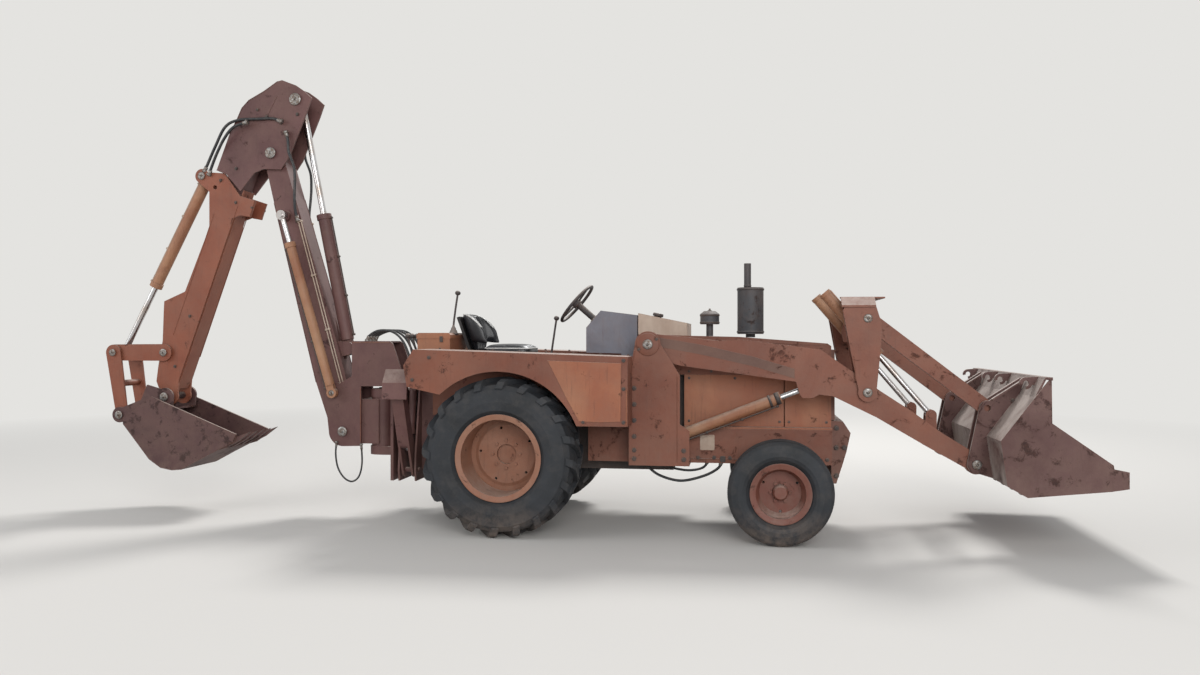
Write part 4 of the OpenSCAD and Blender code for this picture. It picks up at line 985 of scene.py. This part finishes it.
# %% [markdown]
# White piping is sewn into the edges of both pads. Its line is first drawn near the edge and
# then dropped onto the nearest point of the swollen pad.

# %% Seat piping
PIPING = 0.0055  # radius, in metres


def laid_on(piece, line, lift=0.003):
    """Each point of the line moved to the nearest point of the piece, then lift off it along
    the surface normal; three passes of a running mean take the small steps out."""
    mesh = piece.data
    tree = BVHTree.FromPolygons([v.co for v in mesh.vertices], [list(f.vertices) for f in mesh.polygons])
    found = [tree.find_nearest(tuple(p)) for p in line]
    path = np.array([np.array(spot) + lift * np.array(normal) for spot, normal, _, _ in found])
    for _ in range(3):
        path[1:-1] = (path[:-2] + 2 * path[1:-1] + path[2:]) / 4
    return path


across = np.linspace(-0.97, 0.97, 160)
edges = [laid_on(back, site(back_point(across, 1.02, side * 30))) for side in (-1, 1)]
turn = np.linspace(0, 2 * math.pi, 181)
rim_x, rim_y = CUSHION[0] + 232 * power(np.cos(turn), 0.42), 240 * power(np.sin(turn), 0.42)
rims = [laid_on(cushion, site(np.stack([rim_x, rim_y, np.full(181, z)], -1))) for z in (1520, 1430)]
dress("seat_piping", joined([tube(line, PIPING, 8, (0.01, 0.02, 1)) for line in edges + rims]),
      "piping", "seat_pads")
print("piping, metres:", round(sum(length(line) for line in edges + rims), 2))

# %% [markdown]
# The stage is one wide pale floor. Near the machine it takes its shadow; further out it fades
# into a plain tone that only the camera and reflections see. The world behind has the same
# tone, so there is no horizon.

# %% Floor and world
BACKDROP = "#e4e3e0"
FLOOR = "#cfccc7"
SKY = "#e4e8ee"
SKY_LIGHT = 0.55
FLOOR_HALF = 60.0
FADE = (6.0, 15.0)  # distances from the machine, in metres


def directly_seen(owner):
    """1 for rays from the camera and for reflections, 0 for rays that only carry light."""
    ray = add(owner, "LightPath")
    return add(owner, "Math", {"operation": "MAXIMUM"},
               links={0: ray.outputs["Is Camera Ray"], 1: ray.outputs["Is Glossy Ray"]}).outputs[0]


floor = bpy.data.objects.new("floor", bpy.data.meshes.new("floor"))
corners = [(x * FLOOR_HALF, y * FLOOR_HALF, 0) for x, y in ((-1, -1), (1, -1), (1, 1), (-1, 1))]
floor.data.from_pydata(corners, [], [(0, 1, 2, 3)])
scene.collection.objects.link(floor)
floor_paint, floor_shader = new_material("matt_floor")
floor_shader.inputs["Base Color"].default_value = linear(FLOOR)
floor_shader.inputs["Roughness"].default_value = 0.95
spot = add(floor_paint, "TexCoord").outputs["Object"]
spread = add(floor_paint, "VectorMath", {"operation": "LENGTH"}, links={0: spot}).outputs["Value"]
glow = add(floor_paint, "Emission", values={"Color": linear(BACKDROP), "Strength": 1.0})
fade = only_where(floor_paint, directly_seen(floor_paint), spread, *FADE)
melt = add(floor_paint, "MixShader", links={0: fade, 1: floor_shader.outputs[0], 2: glow.outputs[0]})
wire(floor_paint, floor_paint.node_tree.get_output_node("ALL"), {"Surface": melt.outputs[0]})
floor.data.materials.append(floor_paint)

world = bpy.data.worlds.new("soft_sky")
world.use_nodes = True
world.node_tree.nodes.clear()
sky = add(world, "Background", values={"Color": linear(SKY), "Strength": SKY_LIGHT})
plain = add(world, "Background", values={"Color": linear(BACKDROP), "Strength": 1.0})
pick = add(world, "MixShader",
           links={0: directly_seen(world), 1: sky.outputs[0], 2: plain.outputs[0]})
add(world, "OutputWorld", links={"Surface": pick.outputs[0]})
scene.world = world
print("floor:", 2 * FLOOR_HALF, "m wide")

# %% [markdown]
# A soft lamp stands high behind the machine, as the sun did, a weaker one in front keeps the
# near side readable, and a small one opens up the shadows at the rear.

# %% Lamps
# name, place, target, size in metres, watts
lamps = (
    ("sun_side", (2.5, 10.0, 13.0), (0, 0, 1.0), 4.0, 2000),
    ("front", (5.0, -15.0, 6.0), (0, 0, 1.4), 8.0, 1500),
    ("left", (-9.0, -5.0, 5.0), (-1, 0, 1.5), 5.0, 250),
)
for name, place, target, size, watts in lamps:
    data = bpy.data.lights.new(name, "AREA")
    data.size = size
    data.energy = watts
    lamp = bpy.data.objects.new(name, data)
    lamp.location = place
    # a lamp shines along its own -z: tilt that by acos(-z) of the ray, then turn it
    ray = unit(np.subtract(target, place))
    lamp.rotation_euler = (math.acos(-ray[2]), 0, math.atan2(ray[1], ray[0]) + 1.5 * math.pi)
    scene.collection.objects.link(lamp)
print("watts in all:", sum(row[-1] for row in lamps))
